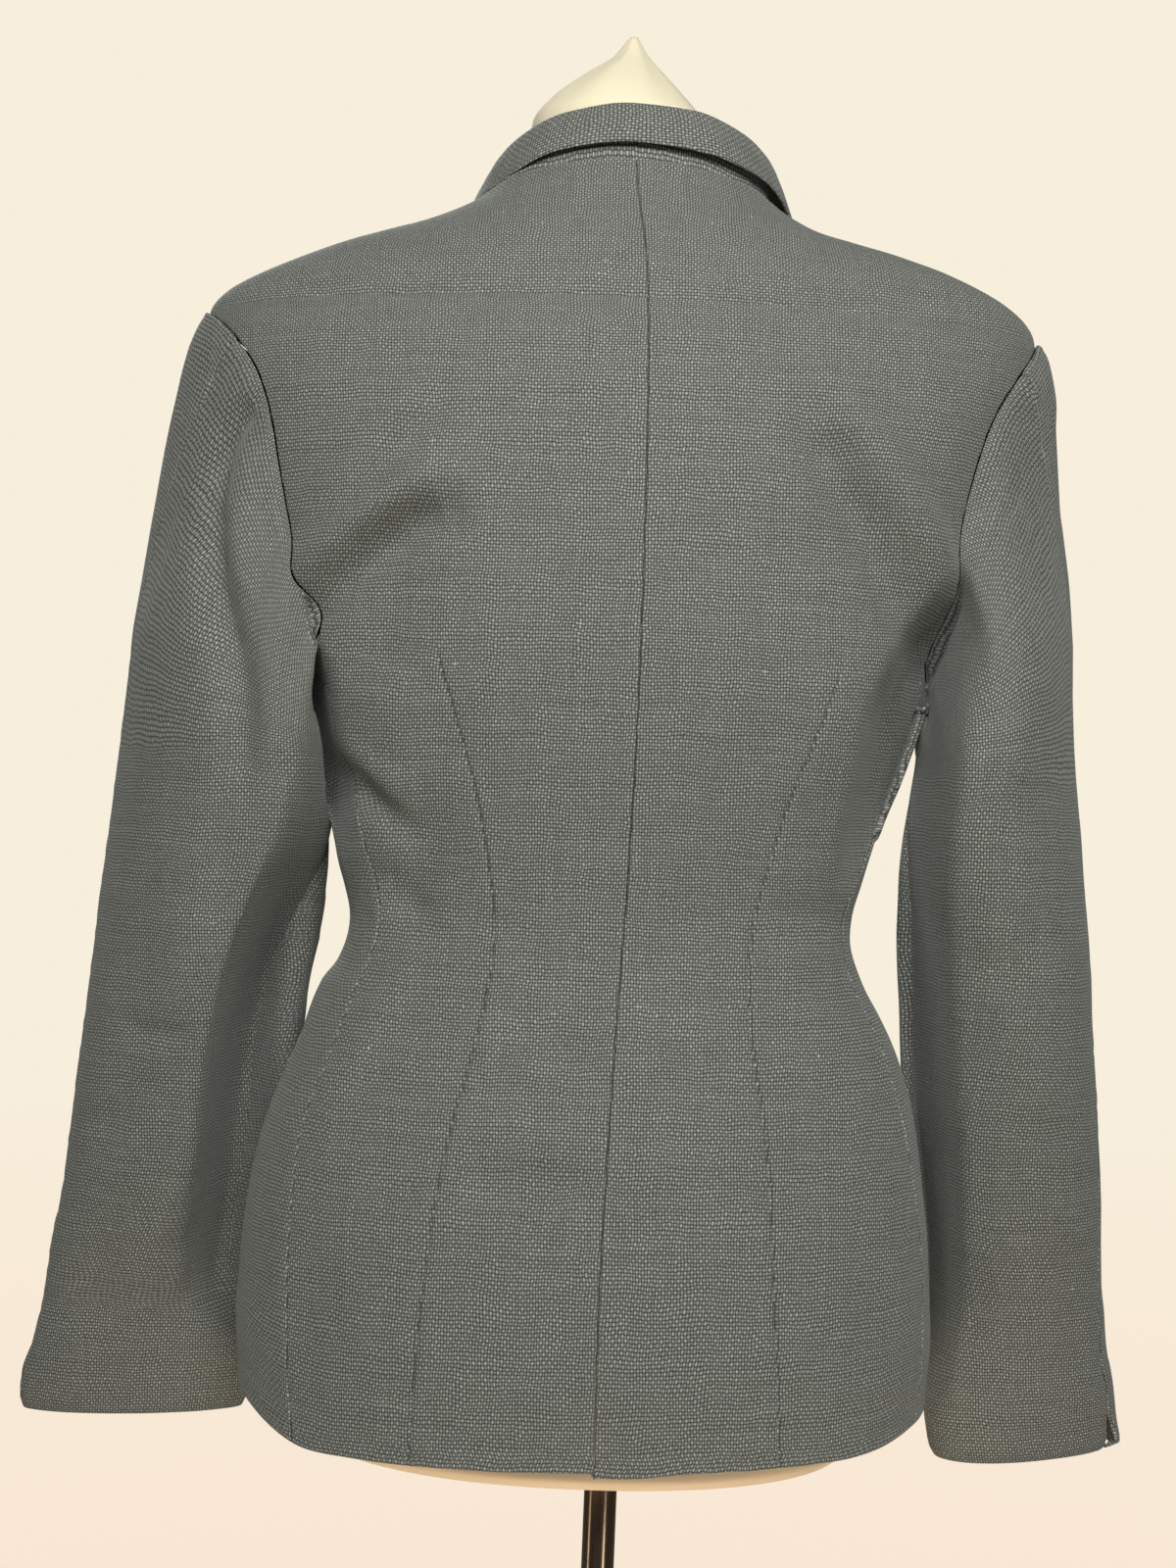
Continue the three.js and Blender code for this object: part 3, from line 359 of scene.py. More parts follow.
# %% [markdown]
# ## Folds
#
# A worn back creases where the cloth has somewhere to go: from the armholes in towards the
# shoulder blades, across the waist and over the hips. Each fold is a soft ridge (positive
# depth) or trough (negative) along a bent path, placed one by one and dying out at its ends.
# Fainter waves with no pattern keep the rest from looking ironed flat.
#
# Two more things shape the cloth. The `SET` tables push it in or out along an outline, and the
# `TURN` tables fold it away from the eye under the arms, where a worn jacket has dark hollows.
# %% Folds of the body
BACK_FOLDS = [
    # x0, z0, x1, z1, x2, z2, depth, width, taper
    (90, 1186, 120, 1180, 176, 1120, -12, 11, 0.3),
    (90, 1210, 124, 1202, 176, 1144, 9, 12, 0.3),
    (90, 1256, 106, 1224, 160, 1172, -4.5, 9, 0.4),
    (98, 1264, 116, 1238, 158, 1196, 2.4, 10, 0.6),
    (100, 1172, 122, 1140, 126, 1090, -8, 24, 0.4),
    (108, 1106, 118, 1085, 128, 1066, 5.5, 22, 0.4),
    (148, 1056, 128, 1039, 104, 1020, -7, 7, 0.4),
    (144, 1074, 124, 1054, 102, 1036, 3.0, 8, 0.6),
    (103, 1074, 112, 1034, 124, 994, 2.2, 12, 0.6),
    (90, 1036, 94, 1000, 108, 966, -4.0, 13, 0.5),
    (122, 1002, 106, 980, 86, 966, -3.2, 9, 0.5),
    (-100, 1236, -128, 1198, -172, 1122, -12, 14, 0.3),
    (-112, 1260, -146, 1220, -188, 1152, 9, 13, 0.3),
    (-120, 1262, -132, 1248, -148, 1232, -1.6, 7, 0.6),
    (-138, 1276, -150, 1262, -168, 1247, -1.4, 6, 0.6),
    (-92, 1190, -112, 1160, -140, 1122, -2.5, 22, 0.5),
    (-118, 1120, -124, 1090, -120, 1050, 3, 24, 0.5),
    (-92, 986, -116, 978, -138, 984, -2.4, 10, 0.5),
    (-88, 962, -112, 956, -136, 960, 1.4, 9, 0.6),
    (104, 944, 126, 905, 145, 862, 2.2, 11, 0.6),
    (96, 930, 116, 900, 132, 862, -1.6, 10, 0.6),
    (50, 926, 20, 914, -8, 899, -3.4, 10, 0.6),
    (66, 866, 24, 864, -18, 856, 4.0, 12, 0.5),
    (68, 842, 30, 846, -10, 836, -3.4, 15, 0.6),
    (-30, 830, -60, 838, -96, 834, -1.6, 13, 0.6),
    (-60, 1010, -20, 1004, 40, 1008, 0.8, 9, 0.8),
    (-84, 985, -50, 978, -18, 982, -0.9, 8, 0.8),
    (30, 966, 60, 972, 84, 980, -1.0, 8, 0.8),
    (60, 1150, 66, 1110, 60, 1060, 1.2, 14, 0.8),
    (-50, 1170, -62, 1120, -64, 1050, 1.3, 16, 0.8),
    (40, 1240, 46, 1200, 44, 1150, -1.2, 16, 0.8),
    (130, 800, 142, 770, 150, 734, -2.2, 14, 0.6),
    (-140, 830, -150, 790, -152, 740, -1.8, 15, 0.6),
]
FRONT_FOLDS = [
    (100, 1190, 122, 1170, 150, 1140, -2.5, 12, 0.5),
    (-100, 1196, -124, 1172, -152, 1140, -2.5, 12, 0.5),
    (20, 1100, 60, 1090, 100, 1100, -0.9, 10, 0.8),
    (-20, 1012, -60, 1004, -100, 1012, -0.9, 9, 0.8),
    (20, 1012, 62, 1002, 104, 1014, -0.9, 9, 0.8),
    (16, 930, 60, 922, 110, 912, -0.8, 10, 0.8),
    (-16, 930, -60, 920, -110, 914, -0.8, 10, 0.8),
]
FOLD_STEPS = 12


def fold_height(x, z, folds):
    height = np.zeros(np.broadcast(x, z).shape)
    t = np.linspace(0, 1, FOLD_STEPS + 1)
    for x0, z0, x1, z1, x2, z2, depth, width, taper in folds:
        px = (1 - t) ** 2 * x0 + 2 * t * (1 - t) * x1 + t ** 2 * x2
        pz = (1 - t) ** 2 * z0 + 2 * t * (1 - t) * z1 + t ** 2 * z2
        reach = 3 * width
        near = (x > px.min() - reach) & (x < px.max() + reach)
        near &= (z > pz.min() - reach) & (z < pz.max() + reach)
        if not near.any():
            continue
        qx, qz = x[near], z[near]
        best = np.full(qx.shape, 1e9)
        place = np.zeros(qx.shape)
        for i in range(FOLD_STEPS):
            ex, ez = px[i + 1] - px[i], pz[i + 1] - pz[i]
            s = np.clip(((qx - px[i]) * ex + (qz - pz[i]) * ez) / (ex * ex + ez * ez), 0, 1)
            distance = np.hypot(qx - px[i] - ex * s, qz - pz[i] - ez * s)
            closer = distance < best
            best = np.where(closer, distance, best)
            place = np.where(closer, (i + s) / FOLD_STEPS, place)
        fade = np.maximum(np.sin(np.pi * np.clip(place, 0.02, 0.98)), 0.02) ** taper
        height[near] += depth * fade * np.exp(-((best / width) ** 2))
    return height


def soft_waves(seed, shortest, longest, count=28):
    dice = np.random.default_rng(seed)
    length = dice.uniform(shortest, longest, count)
    heading = unit(dice.normal(size=(count, 3)))
    phase = dice.uniform(0, 2 * np.pi, count)
    size = (length / longest) ** 1.2 / math.sqrt(count)

    def at(points):
        total = np.zeros(points.shape[:-1])
        for i in range(count):
            total += size[i] * np.sin(points @ heading[i] * 2 * np.pi / length[i] + phase[i])
        return total

    return at


BROAD_WAVES = soft_waves(3, 50, 170)
FINE_WAVES = soft_waves(5, 12, 34)
SIDE_SET = {
    1: curve([(905, 0), (925, 3.2), (932, 3), (946, -1.6), (958, -2.2), (968, -1.5), (986, 1.8),
              (1006, 4.2), (1026, 4), (1048, 2), (1075, 0)]),
    -1: curve([(830, 0), (862, 2), (884, 4), (903, 4.4), (922, 3.8), (941, 1.2), (960, 0), (980, 2.4),
               (1000, 4.6), (1019, 5.2), (1038, 3.4), (1062, 2.4), (1095, 0)]),
}
SHOULDER_SET = curve([
    # x, how far the shoulder stands up
    (-238, 0), (-225, 1.2), (-205, 2.6), (-176, 3.2), (-150, 2), (-126, -0.4), (-104, -2.4), (-84, -1),
    (-60, 0), (60, 0), (84, -2.4), (108, -2.8), (136, -1.2), (165, 0), (236, 0),
])
SIDE_TURN = {
    # z, where the back turns away under the arm, and how far it drops behind
    1: columns(("line", "drop"), [
        (1000, 140, 0), (1009, 136, 8), (1043, 131, 32), (1068, 140, 38), (1095, 144, 38),
        (1112, 149, 22), (1130, 156, 0),
    ], 5),
    -1: columns(("line", "drop"), [
        (992, 126, 0), (1010, 124, 12), (1055, 130, 42), (1095, 135, 46), (1111, 141, 44),
        (1138, 155, 32), (1158, 170, 16), (1178, 184, 0),
    ], 5),
}


EYE_DISTANCE = 1150


def side_set(x, z):
    return np.where(x > 0, SIDE_SET[1](z), SIDE_SET[-1](z))


def side_turn(x, y, z):
    line = np.where(x > 0, SIDE_TURN[1]["line"](z), SIDE_TURN[-1]["line"](z))
    drop = np.where(x > 0, SIDE_TURN[1]["drop"](z), SIDE_TURN[-1]["drop"](z))
    return drop * ease((np.abs(x) - line) / 15) * ease((y + 2) / 32)


def body_surface(angle, z):
    base = section_point(BODY, angle, z)
    x, y, level = base[..., 0], base[..., 1], base[..., 2]
    normal = body_normal(angle, z)
    back = ease((y + 40) / 80)
    height = back * fold_height(x, level, BACK_FOLDS)
    height += (1 - back) * fold_height(x, level, FRONT_FOLDS)
    height += 0.8 * BROAD_WAVES(base) + 0.10 * FINE_WAVES(base)
    height += side_set(x, level) * normal[..., 0] ** 2
    height += SHOULDER_SET(x) * ease((normal[..., 2] - 0.2) / 0.5)
    grid = base + normal * height[..., None]
    turned = side_turn(grid[..., 0], grid[..., 1], grid[..., 2])
    grid[..., 1] -= turned
    grid[..., 0] *= 1 + 0.8 * turned / EYE_DISTANCE
    return grid


print(len(BACK_FOLDS) + len(FRONT_FOLDS), "folds on the body")

# %% [markdown]
# ## Seams and rows
#
# The seams of a fitted back run in long curves: the centre back seam, the two darts that run
# out through the hem, and the side seams far round under the arms. The cloth has crept a
# little over the form, so left and right have their own numbers.
# %% Seam lines
CENTRE_BACK_LINE = curve([
    (700, -8), (776, -7), (900, -10), (1000, -14), (1100, -15.5),
    (1190, -15), (1253, -14), (1335, -11), (1390, -6),
])


def centre_back(z):
    """The centre back seam, which wavers a little between its stitches."""
    return CENTRE_BACK_LINE(z) + 0.22 * np.sin(z * 0.31) + 0.16 * np.sin(z * 0.77 + 1)


BACK_DART = curve([
    (700, 95), (750, 93), (798, 90), (837, 86.5), (871, 81.5), (903, 75), (930, 70.5),
    (956, 68.5), (976, 69.5), (1005, 74.5), (1037, 81.5), (1068, 91), (1097, 100.5), (1117, 107),
])
SIDE_BACK = {
    1: curve([(700, 150), (750, 156), (800, 158), (850, 156), (900, 141), (975, 120),
              (1060, 143), (1123, 159)]),
    -1: curve([(700, 182), (750, 184), (800, 182), (850, 174), (900, 158), (975, 134),
               (1060, 160), (1123, 178)]),
}
ARMHOLE_BACK = {
    1: curve([(1123, 159), (1165, 170), (1190, 176), (1216, 182), (1242, 188), (1264, 196), (1283, 209),
              (1295, 220), (1302, 229), (1305, 234)]),
    -1: curve([(1123, 178), (1165, 183), (1190, 187), (1216, 192), (1242, 199), (1264, 208),
               (1283, 219.5), (1295, 227), (1302, 231), (1305, 234)]),
}
SIDE_FRONT = curve([(700, 168), (800, 168), (850, 160), (900, 146), (975, 126), (1060, 150), (1123, 166)])
ARMHOLE_FRONT = curve([
    (1123, 166), (1165, 167), (1200, 171), (1242, 181), (1270, 195), (1290, 213), (1300, 227),
    (1305, 234),
])
FRONT_DART = curve([(700, 96), (800, 94), (870, 86), (960, 76), (1030, 84), (1095, 96)])

HEM, JUNCTION, TIP, NECK = 700, 1123, 1305, 1387
NECK_DROP = 9
UNDERARM_DIP = 25
DART_TOP = 1123
FRONT_DART_TOP = 1102
CLOTH = 2.0
SEAM_GAP = 0.3
ROLL = 1.1
EDGE_STEPS = (0, 0.12, 0.4, 0.8, 1.3, 2.4)
INSET_SHARES = (0, 0.02, 0.05, 0.09, 0.13, 0.18)
CELL = 4.0
JACKET_SHIFT = 14.0
FAR = 1e3


def neck_height(angle):
    return NECK - NECK_DROP * np.sin(np.minimum(np.abs(angle), np.pi / 2)) ** 2


def back_angle(x, z):
    half, n = BODY["half_width"](z), BODY["square"](z)
    s = np.minimum(np.abs(x) / half, 1)
    return np.sign(x) * np.arctan2(s, (1 - s ** n) ** (1 / n))


def front_angle(x, z):
    return np.pi - back_angle(x, z)


def back_edge(sign, z):
    side = back_angle(sign * SIDE_BACK[sign](z), z)
    armhole = back_angle(sign * ARMHOLE_BACK[sign](z), z)
    return np.where(z <= JUNCTION, side, np.where(z < TIP - 0.5, armhole, sign * np.pi / 2))


def front_edge(z):
    side = front_angle(SIDE_FRONT(z), z)
    armhole = front_angle(ARMHOLE_FRONT(z), z)
    return np.where(z <= JUNCTION, side, np.where(z < TIP - 0.5, armhole, np.pi / 2))


def steps_between(start, end, close_start=True, close_end=True):
    length = end - start
    inner = EDGE_STEPS[-1]
    count = max(int(round((length - 2 * inner) / CELL)), 2)
    middle = np.linspace(start + inner, end - inner, count + 1)
    left = start + np.array(EDGE_STEPS[:-1]) if close_start else [start]
    right = end - np.array(EDGE_STEPS[:-1])[::-1] if close_end else [end]
    return np.concatenate([left, middle, right])


SLOPE_LENGTH = 170.0
LEVELS = steps_between(HEM, TIP, True, False)
SHARES = steps_between(0, SLOPE_LENGTH, False, True)[1:] / SLOPE_LENGTH
PANEL_ROWS = [(z, 0.0) for z in LEVELS] + [(TIP, share) for share in SHARES]
SIDE_ROWS = [(z, 0.0) for z in steps_between(HEM, JUNCTION)]
print(len(PANEL_ROWS), "rows of points from hem to neck")


def grid_normal(grid, outward):
    across = np.gradient(grid, axis=1)
    along = np.gradient(grid, axis=0)
    normal = unit(np.cross(across, along))
    if (normal * outward).sum() < 0:
        normal = -normal
    return normal


def running_length(grid):
    """How far each point lies along its row."""
    steps = np.linalg.norm(np.diff(grid, axis=1), axis=-1)
    return np.concatenate([np.zeros((len(grid), 1)), np.cumsum(steps, axis=1)], axis=1)


def grain_of(grid, straight):
    """Millimetres across and along the cloth, counted from the first edge or from the middle."""
    along = np.linalg.norm(np.diff(grid, axis=0), axis=-1)
    u = running_length(grid)
    v = np.concatenate([[0], np.cumsum(along.mean(axis=1))])
    if straight:
        start = straight * grid[:, :1, 0]
    else:
        start = -u[:, u.shape[1] // 2][:, None]
    return np.stack([u + start, np.broadcast_to(v[:, None], u.shape), 0 * u], -1)


def new_piece(name, points, faces, attributes=None):
    mesh = bpy.data.meshes.new(name)
    points = np.asarray(points, float) * MM
    points[:, 0] += JACKET_SHIFT * MM
    mesh.from_pydata(points.tolist(), [], faces)
    mesh.validate()
    mesh.polygons.foreach_set("use_smooth", [True] * len(mesh.polygons))
    for key, (kind, values) in (attributes or {}).items():
        layer = mesh.attributes.new(key, kind, "POINT")
        flat = np.asarray(values, np.float32).ravel()
        layer.data.foreach_set("vector" if kind == "FLOAT_VECTOR" else "value", flat)
    piece = bpy.data.objects.new(name, mesh)
    scene.collection.objects.link(piece)
    return piece


def grid_faces(rows, cols, offset=0, flip=False):
    index = np.arange(rows * cols).reshape(rows, cols) + offset
    quads = np.stack([index[:-1, :-1], index[:-1, 1:], index[1:, 1:], index[1:, :-1]], -1).reshape(-1, 4)
    return quads[:, ::-1] if flip else quads


def rolled(distance, roll, least):
    share = np.clip(distance / roll, 0, 1)
    return np.maximum(np.sqrt(1 - (1 - share) ** 2), least)


def shell(name, grid, edge, outward, thickness=CLOTH, roll=ROLL, groove=None, seam=None, straight=0):
    rows, cols = grid.shape[:2]
    normal = grid_normal(grid, outward)
    middle = grid - normal * thickness / 2
    half = thickness / 2 * rolled(edge, roll, 0.1)
    outer = middle + normal * half[..., None]
    inner = middle - normal * half[..., None]
    if seam is not None:
        outer = inner + (outer - inner) * rolled(seam, 0.75 * roll, 0.1)[..., None]
        edge = np.minimum(edge, seam)
    if groove is not None:
        outer = outer - normal * groove[..., None]
    across = np.gradient(grid, axis=1)
    along = np.gradient(grid, axis=0)
    turned = (np.cross(across, along) * normal).sum() < 0
    faces = [grid_faces(rows, cols, 0, turned), grid_faces(rows, cols, rows * cols, not turned)]
    index = np.arange(rows * cols).reshape(rows, cols)
    rim = np.concatenate([index[0, :-1], index[:-1, -1], index[-1, :0:-1], index[:0:-1, 0]])
    following = np.roll(rim, -1)
    band = np.stack([following, rim, rim + rows * cols, following + rows * cols], -1)
    faces.append(band[:, ::-1] if turned else band)
    grain = grain_of(grid, straight).reshape(-1, 3)
    distance = edge.ravel()
    attributes = {
        "grain": ("FLOAT_VECTOR", np.concatenate([grain, grain])),
        "edge": ("FLOAT", np.concatenate([distance, distance])),
    }
    points = np.concatenate([outer.reshape(-1, 3), inner.reshape(-1, 3)])
    corner = np.cross(outer[1:, 1:] - outer[:-1, :-1], outer[1:, :-1] - outer[:-1, 1:])
    return new_piece(name, points, np.concatenate(faces).tolist(), attributes)


# %% Panels of the body
def arc_columns(levels, shares, start, end, count):
    """Angles from start to end at each row, evenly spaced along the cloth but closer at the ends."""
    fine = np.linspace(0, 1, 60)
    angles = start[:, None] + (end - start)[:, None] * fine
    heights = mix(levels[:, None], neck_height(angles), shares[:, None])
    points = section_point(BODY, angles, heights)
    length = running_length(points)
    full = length[:, -1]
    inset = np.minimum(np.array(EDGE_STEPS)[None, :], full[:, None] * np.array(INSET_SHARES))
    inner = np.linspace(0, 1, count + 1)[None, 1:-1]
    middle = inset[:, -1:] + (full[:, None] - 2 * inset[:, -1:]) * inner
    places = np.concatenate([inset, middle, full[:, None] - inset[:, ::-1]], axis=1)
    out = np.empty_like(places)
    for i in range(len(levels)):
        out[i] = np.interp(places[i], length[i], angles[i])
    return out, places, full[:, None] - places


HEM_SLANT = -0.024
HEM_STEP, HEM_STEP_X, HEM_STEP_WIDTH = -2.5, -22, 26
HEM_CORNERS = {1: 19, -1: 7}
HEM_CORNER_START, HEM_CORNER_WIDTH = 132, 66
HEM_FADE = 110
TURNING, TURNING_HEIGHT = 6.0, 0.30
HEM_TURNING, HEM_TURNING_HEIGHT = 55, 0.35
PUCKER, PUCKER_REACH = 0.13, 5.0
DART_DEPTH, DART_WIDTH = 1.6, 0.8
DART_FADE, DART_BEND = 14, 150


def hem_shift(x, level):
    step = HEM_STEP * np.exp(-((x - HEM_STEP_X) / HEM_STEP_WIDTH) ** 2) * (x < centre_back(HEM))
    rise = ease((np.abs(x) - HEM_CORNER_START) / HEM_CORNER_WIDTH) ** 1.5
    corner = np.where(x > 0, HEM_CORNERS[1], HEM_CORNERS[-1]) * rise
    return (HEM_SLANT * x + step + corner) * (1 - ease((level - HEM) / HEM_FADE))


def press_marks(edge, hem_distance, points):
    """Where the seam turnings and the hem lie behind the cloth, it stands up a little."""
    uneven = 0.75 + 0.5 * FINE_WAVES(points * 0.6)
    turning = TURNING_HEIGHT * (1 - ease((edge - TURNING) / 2.2)) * ease(edge / 2.0) * uneven
    hem = HEM_TURNING_HEIGHT * (1 - ease((hem_distance - HEM_TURNING) / 4.0)) * uneven
    return turning + hem


def seam_pucker(distance, points):
    z = points[..., 2]
    waves = np.sin(z * 0.62 + 2.2 * FINE_WAVES(points)) + np.sin(z * 0.37 + 1.0)
    return PUCKER * waves * np.exp(-((distance / PUCKER_REACH) ** 2))


def body_panel(name, rows, parts, sign, lift=None, shape=None):
    levels = np.array([row[0] for row in rows], float)
    shares = np.array([row[1] for row in rows], float)
    bounds = [part(levels) for part in parts["lines"]]
    spans = [arc_columns(levels, shares, a, b, n)
             for a, b, n in zip(bounds[:-1], bounds[1:], parts["counts"])]
    angle = np.concatenate([spans[0][0]] + [span[0][:, 1:] for span in spans[1:]], axis=1)
    to_first = np.concatenate([spans[0][1]] + [FAR + span[1][:, 1:] for span in spans[1:]], axis=1)
    to_last = np.concatenate([FAR + span[2] for span in spans[:-1]]
                             + [spans[-1][2][:, (1 if len(spans) > 1 else 0):]], axis=1)
    level = np.broadcast_to(levels[:, None], angle.shape)
    share = np.broadcast_to(shares[:, None], angle.shape)
    height = mix(level, neck_height(angle), share)
    if shape is not None:
        height = shape(angle, height)
    grid = body_surface(angle, height)
    edge = level - HEM
    to_top = (1 - share) * 90 + (TIP - level) if rows[-1][1] > 0 else levels[-1] - level
    side_edge = np.minimum(to_first, to_last)
    seam = np.minimum(side_edge, to_top)
    dart = np.full(angle.shape, FAR)
    if len(spans) > 1:
        left = np.concatenate([spans[0][2], np.full_like(spans[1][1][:, 1:], FAR)], axis=1)
        right = np.concatenate([np.full_like(spans[0][2][:, :-1], FAR), spans[1][1]], axis=1)
        dart = np.minimum(left, right)
    open_dart = ease((parts.get("dart_top", 0) - height) / DART_FADE)
    normal = body_normal(angle, height)
    to_dart = np.where(open_dart > 0, dart / np.maximum(open_dart, 0.05), FAR)
    near = np.minimum(np.minimum(edge, seam), to_dart)
    raise_by = press_marks(np.minimum(side_edge, near), edge, grid) + seam_pucker(near, grid)
    if lift is not None:
        raise_by = raise_by + lift(grid)
    grid = grid + normal * raise_by[..., None]
    grid[..., 2] += hem_shift(grid[..., 0], height)
    grid = close_seams(grid, to_first, to_last)
    groove = DART_DEPTH * np.exp(-((dart / DART_WIDTH) ** 2)) * open_dart
    straight = sign if len(spans) > 1 else 0
    return shell(name, grid, edge, normal, groove=groove, seam=seam, straight=straight)


def close_seams(grid, to_first, to_last):
    """Draws both side edges back from the seam by half its gap."""
    inward_first = unit(grid[:, 1:2] - grid[:, :1])
    inward_last = unit(grid[:, -2:-1] - grid[:, -1:])
    push_first = np.exp(-((to_first / 1.0) ** 2))[..., None] * inward_first
    push_last = np.exp(-((to_last / 1.0) ** 2))[..., None] * inward_last
    return grid + SEAM_GAP / 2 * (push_first + push_last)


# %% Back
def back_lines(sign):
    def centre(levels):
        return back_angle(centre_back(levels), levels)

    def dart(levels):
        low = np.minimum(levels, TIP)
        at_dart = back_angle(centre_back(low) + sign * BACK_DART(low), low)
        even = mix(centre(low), back_edge(sign, low), 0.5)
        return mix(at_dart, even, ease((low - DART_TOP) / DART_BEND))

    return [centre, dart, lambda levels: back_edge(sign, levels)]


cloth_pieces = {}
for side, sign in (("left", 1), ("right", -1)):
    parts = {"lines": back_lines(sign), "counts": (22, 20), "dart_top": DART_TOP - 4}
    cloth_pieces[f"back_{side}"] = body_panel(f"cloth_back_{side}", PANEL_ROWS, parts, sign)
print("back panels", [len(p.data.polygons) for p in cloth_pieces.values()])

# %% Sides
def side_shape(sign):
    def shape(angle, height):
        levels = height[:, 0]
        first = back_edge(sign, levels)[:, None]
        last = sign * front_angle(SIDE_FRONT(levels), levels)[:, None]
        share = (angle - first) / (last - first)
        dip = UNDERARM_DIP * (1 - np.abs(2 * share - 1) ** 2.2)
        return height - dip * ease((height - 1000) / (JUNCTION - 1000))
    return shape


for side, sign in (("left", 1), ("right", -1)):
    lines = [lambda levels, s=sign: back_edge(s, levels),
             lambda levels, s=sign: s * front_angle(SIDE_FRONT(levels), levels)]
    parts = {"lines": lines, "counts": (20,)}
    cloth_pieces[f"side_{side}"] = body_panel(
        f"cloth_side_{side}", SIDE_ROWS, parts, sign, shape=side_shape(sign))
print("side panels", len(cloth_pieces["side_left"].data.polygons))

# %% Fronts
FRONT_OVERLAP = 20
BREAK = 1120
ROLL_TOP_X = 62
ROLL_TOP_Z = NECK - NECK_DROP
HEM_ROUND = 40
OVERLAP_LIFT = CLOTH + 2 * SEAM_GAP


def roll_line(z):
    return mix(-FRONT_OVERLAP, ROLL_TOP_X, np.clip((z - BREAK) / (ROLL_TOP_Z - BREAK), 0, 1))


def front_slope(levels, shares):
    return levels + (ROLL_TOP_Z - TIP) * shares


def front_lines(sign, rows):
    shares = np.array([row[1] for row in rows])

    def first(levels):
        z = front_slope(levels, shares)
        return sign * front_angle(roll_line(z), z)

    def last(levels):
        return sign * front_edge(levels)

    def dart(levels):
        z = front_slope(levels, shares)
        low = np.minimum(levels, TIP)
        at_dart = sign * front_angle(FRONT_DART(low), low)
        even = mix(first(levels), last(levels), 0.66)
        return mix(at_dart, even, ease((z - FRONT_DART_TOP) / DART_BEND))

    return [first, dart, last]


def front_shape(sign):
    def shape(angle, height):
        x = section_point(BODY, angle, height)[..., 0] * sign
        inset = np.abs(roll_line(height) - x)
        arc = np.sqrt(np.maximum(HEM_ROUND ** 2 - (HEM_ROUND - inset) ** 2, 0))
        round_up = np.where(inset < HEM_ROUND, HEM_ROUND - arc, 0)
        return height + round_up * (1 - ease((height - HEM) / 130))
    return shape


def right_lift(points):
    front = points[..., 1] < 0
    return front * OVERLAP_LIFT * ease((points[..., 0] + 74) / 30)


for side, sign in (("left", 1), ("right", -1)):
    parts = {"lines": front_lines(sign, PANEL_ROWS), "counts": (24, 18), "dart_top": FRONT_DART_TOP - 4}
    cloth_pieces[f"front_{side}"] = body_panel(
        f"cloth_front_{side}", PANEL_ROWS, parts, sign,
        lift=right_lift if sign < 0 else None, shape=front_shape(sign))
print("fronts", len(cloth_pieces["front_left"].data.polygons))

# %% [markdown]
# ## Lapels
#
# A lapel is the top of the front rolled back on itself. It lies on the chest, proud of it at
# the roll and settling towards its outer edge.
# %% Lapels
LAPEL = {
    "roll_top": 1350, "tip_x": 116, "tip_z": 1304, "overhang": 1.6, "clear": 1.4, "roll": 2.2,
    "belly": 9, "width": 84, "least_width": 4,
}
LAPEL_LENGTH = {1: 150, -1: 235}


def lapel(name, sign, bottom, lift):
    length, width = LAPEL_LENGTH[sign], LAPEL["width"]
    down = steps_between(0, length) / length
    out = steps_between(0, width) / width
    t, s = np.meshgrid(down, out, indexing="ij")
    start_x = roll_line(bottom)
    roll_z = mix(bottom, LAPEL["roll_top"], t)
    edge_x = mix(start_x + 3, LAPEL["tip_x"], t) + LAPEL["belly"] * np.sin(np.pi * t)
    z = mix(roll_z, mix(bottom + 3, LAPEL["tip_z"], t), s)
    x = mix(roll_line(roll_z) - LAPEL["overhang"], edge_x, s)
    angle = sign * front_angle(x, z)
    base = body_surface(angle, z)
    normal = body_normal(angle, z)
    height = LAPEL["clear"] + LAPEL["roll"] * (1 - s) ** 2 + CLOTH + lift(base)
    grid = base + normal * height[..., None]
    breadth = np.maximum(width * t, LAPEL["least_width"])
    edge = np.minimum(np.minimum(t, 1 - t) * length, np.minimum(s, 1 - s) * breadth)
    return shell(name, grid, edge, normal)


cloth_pieces["lapel_right"] = lapel("cloth_lapel_right", -1, BREAK + 4, right_lift)
cloth_pieces["lapel_left"] = lapel("cloth_lapel_left", 1, 1206, lambda points: 0 * points[..., 0])
print("lapels", len(cloth_pieces["lapel_right"].data.polygons))

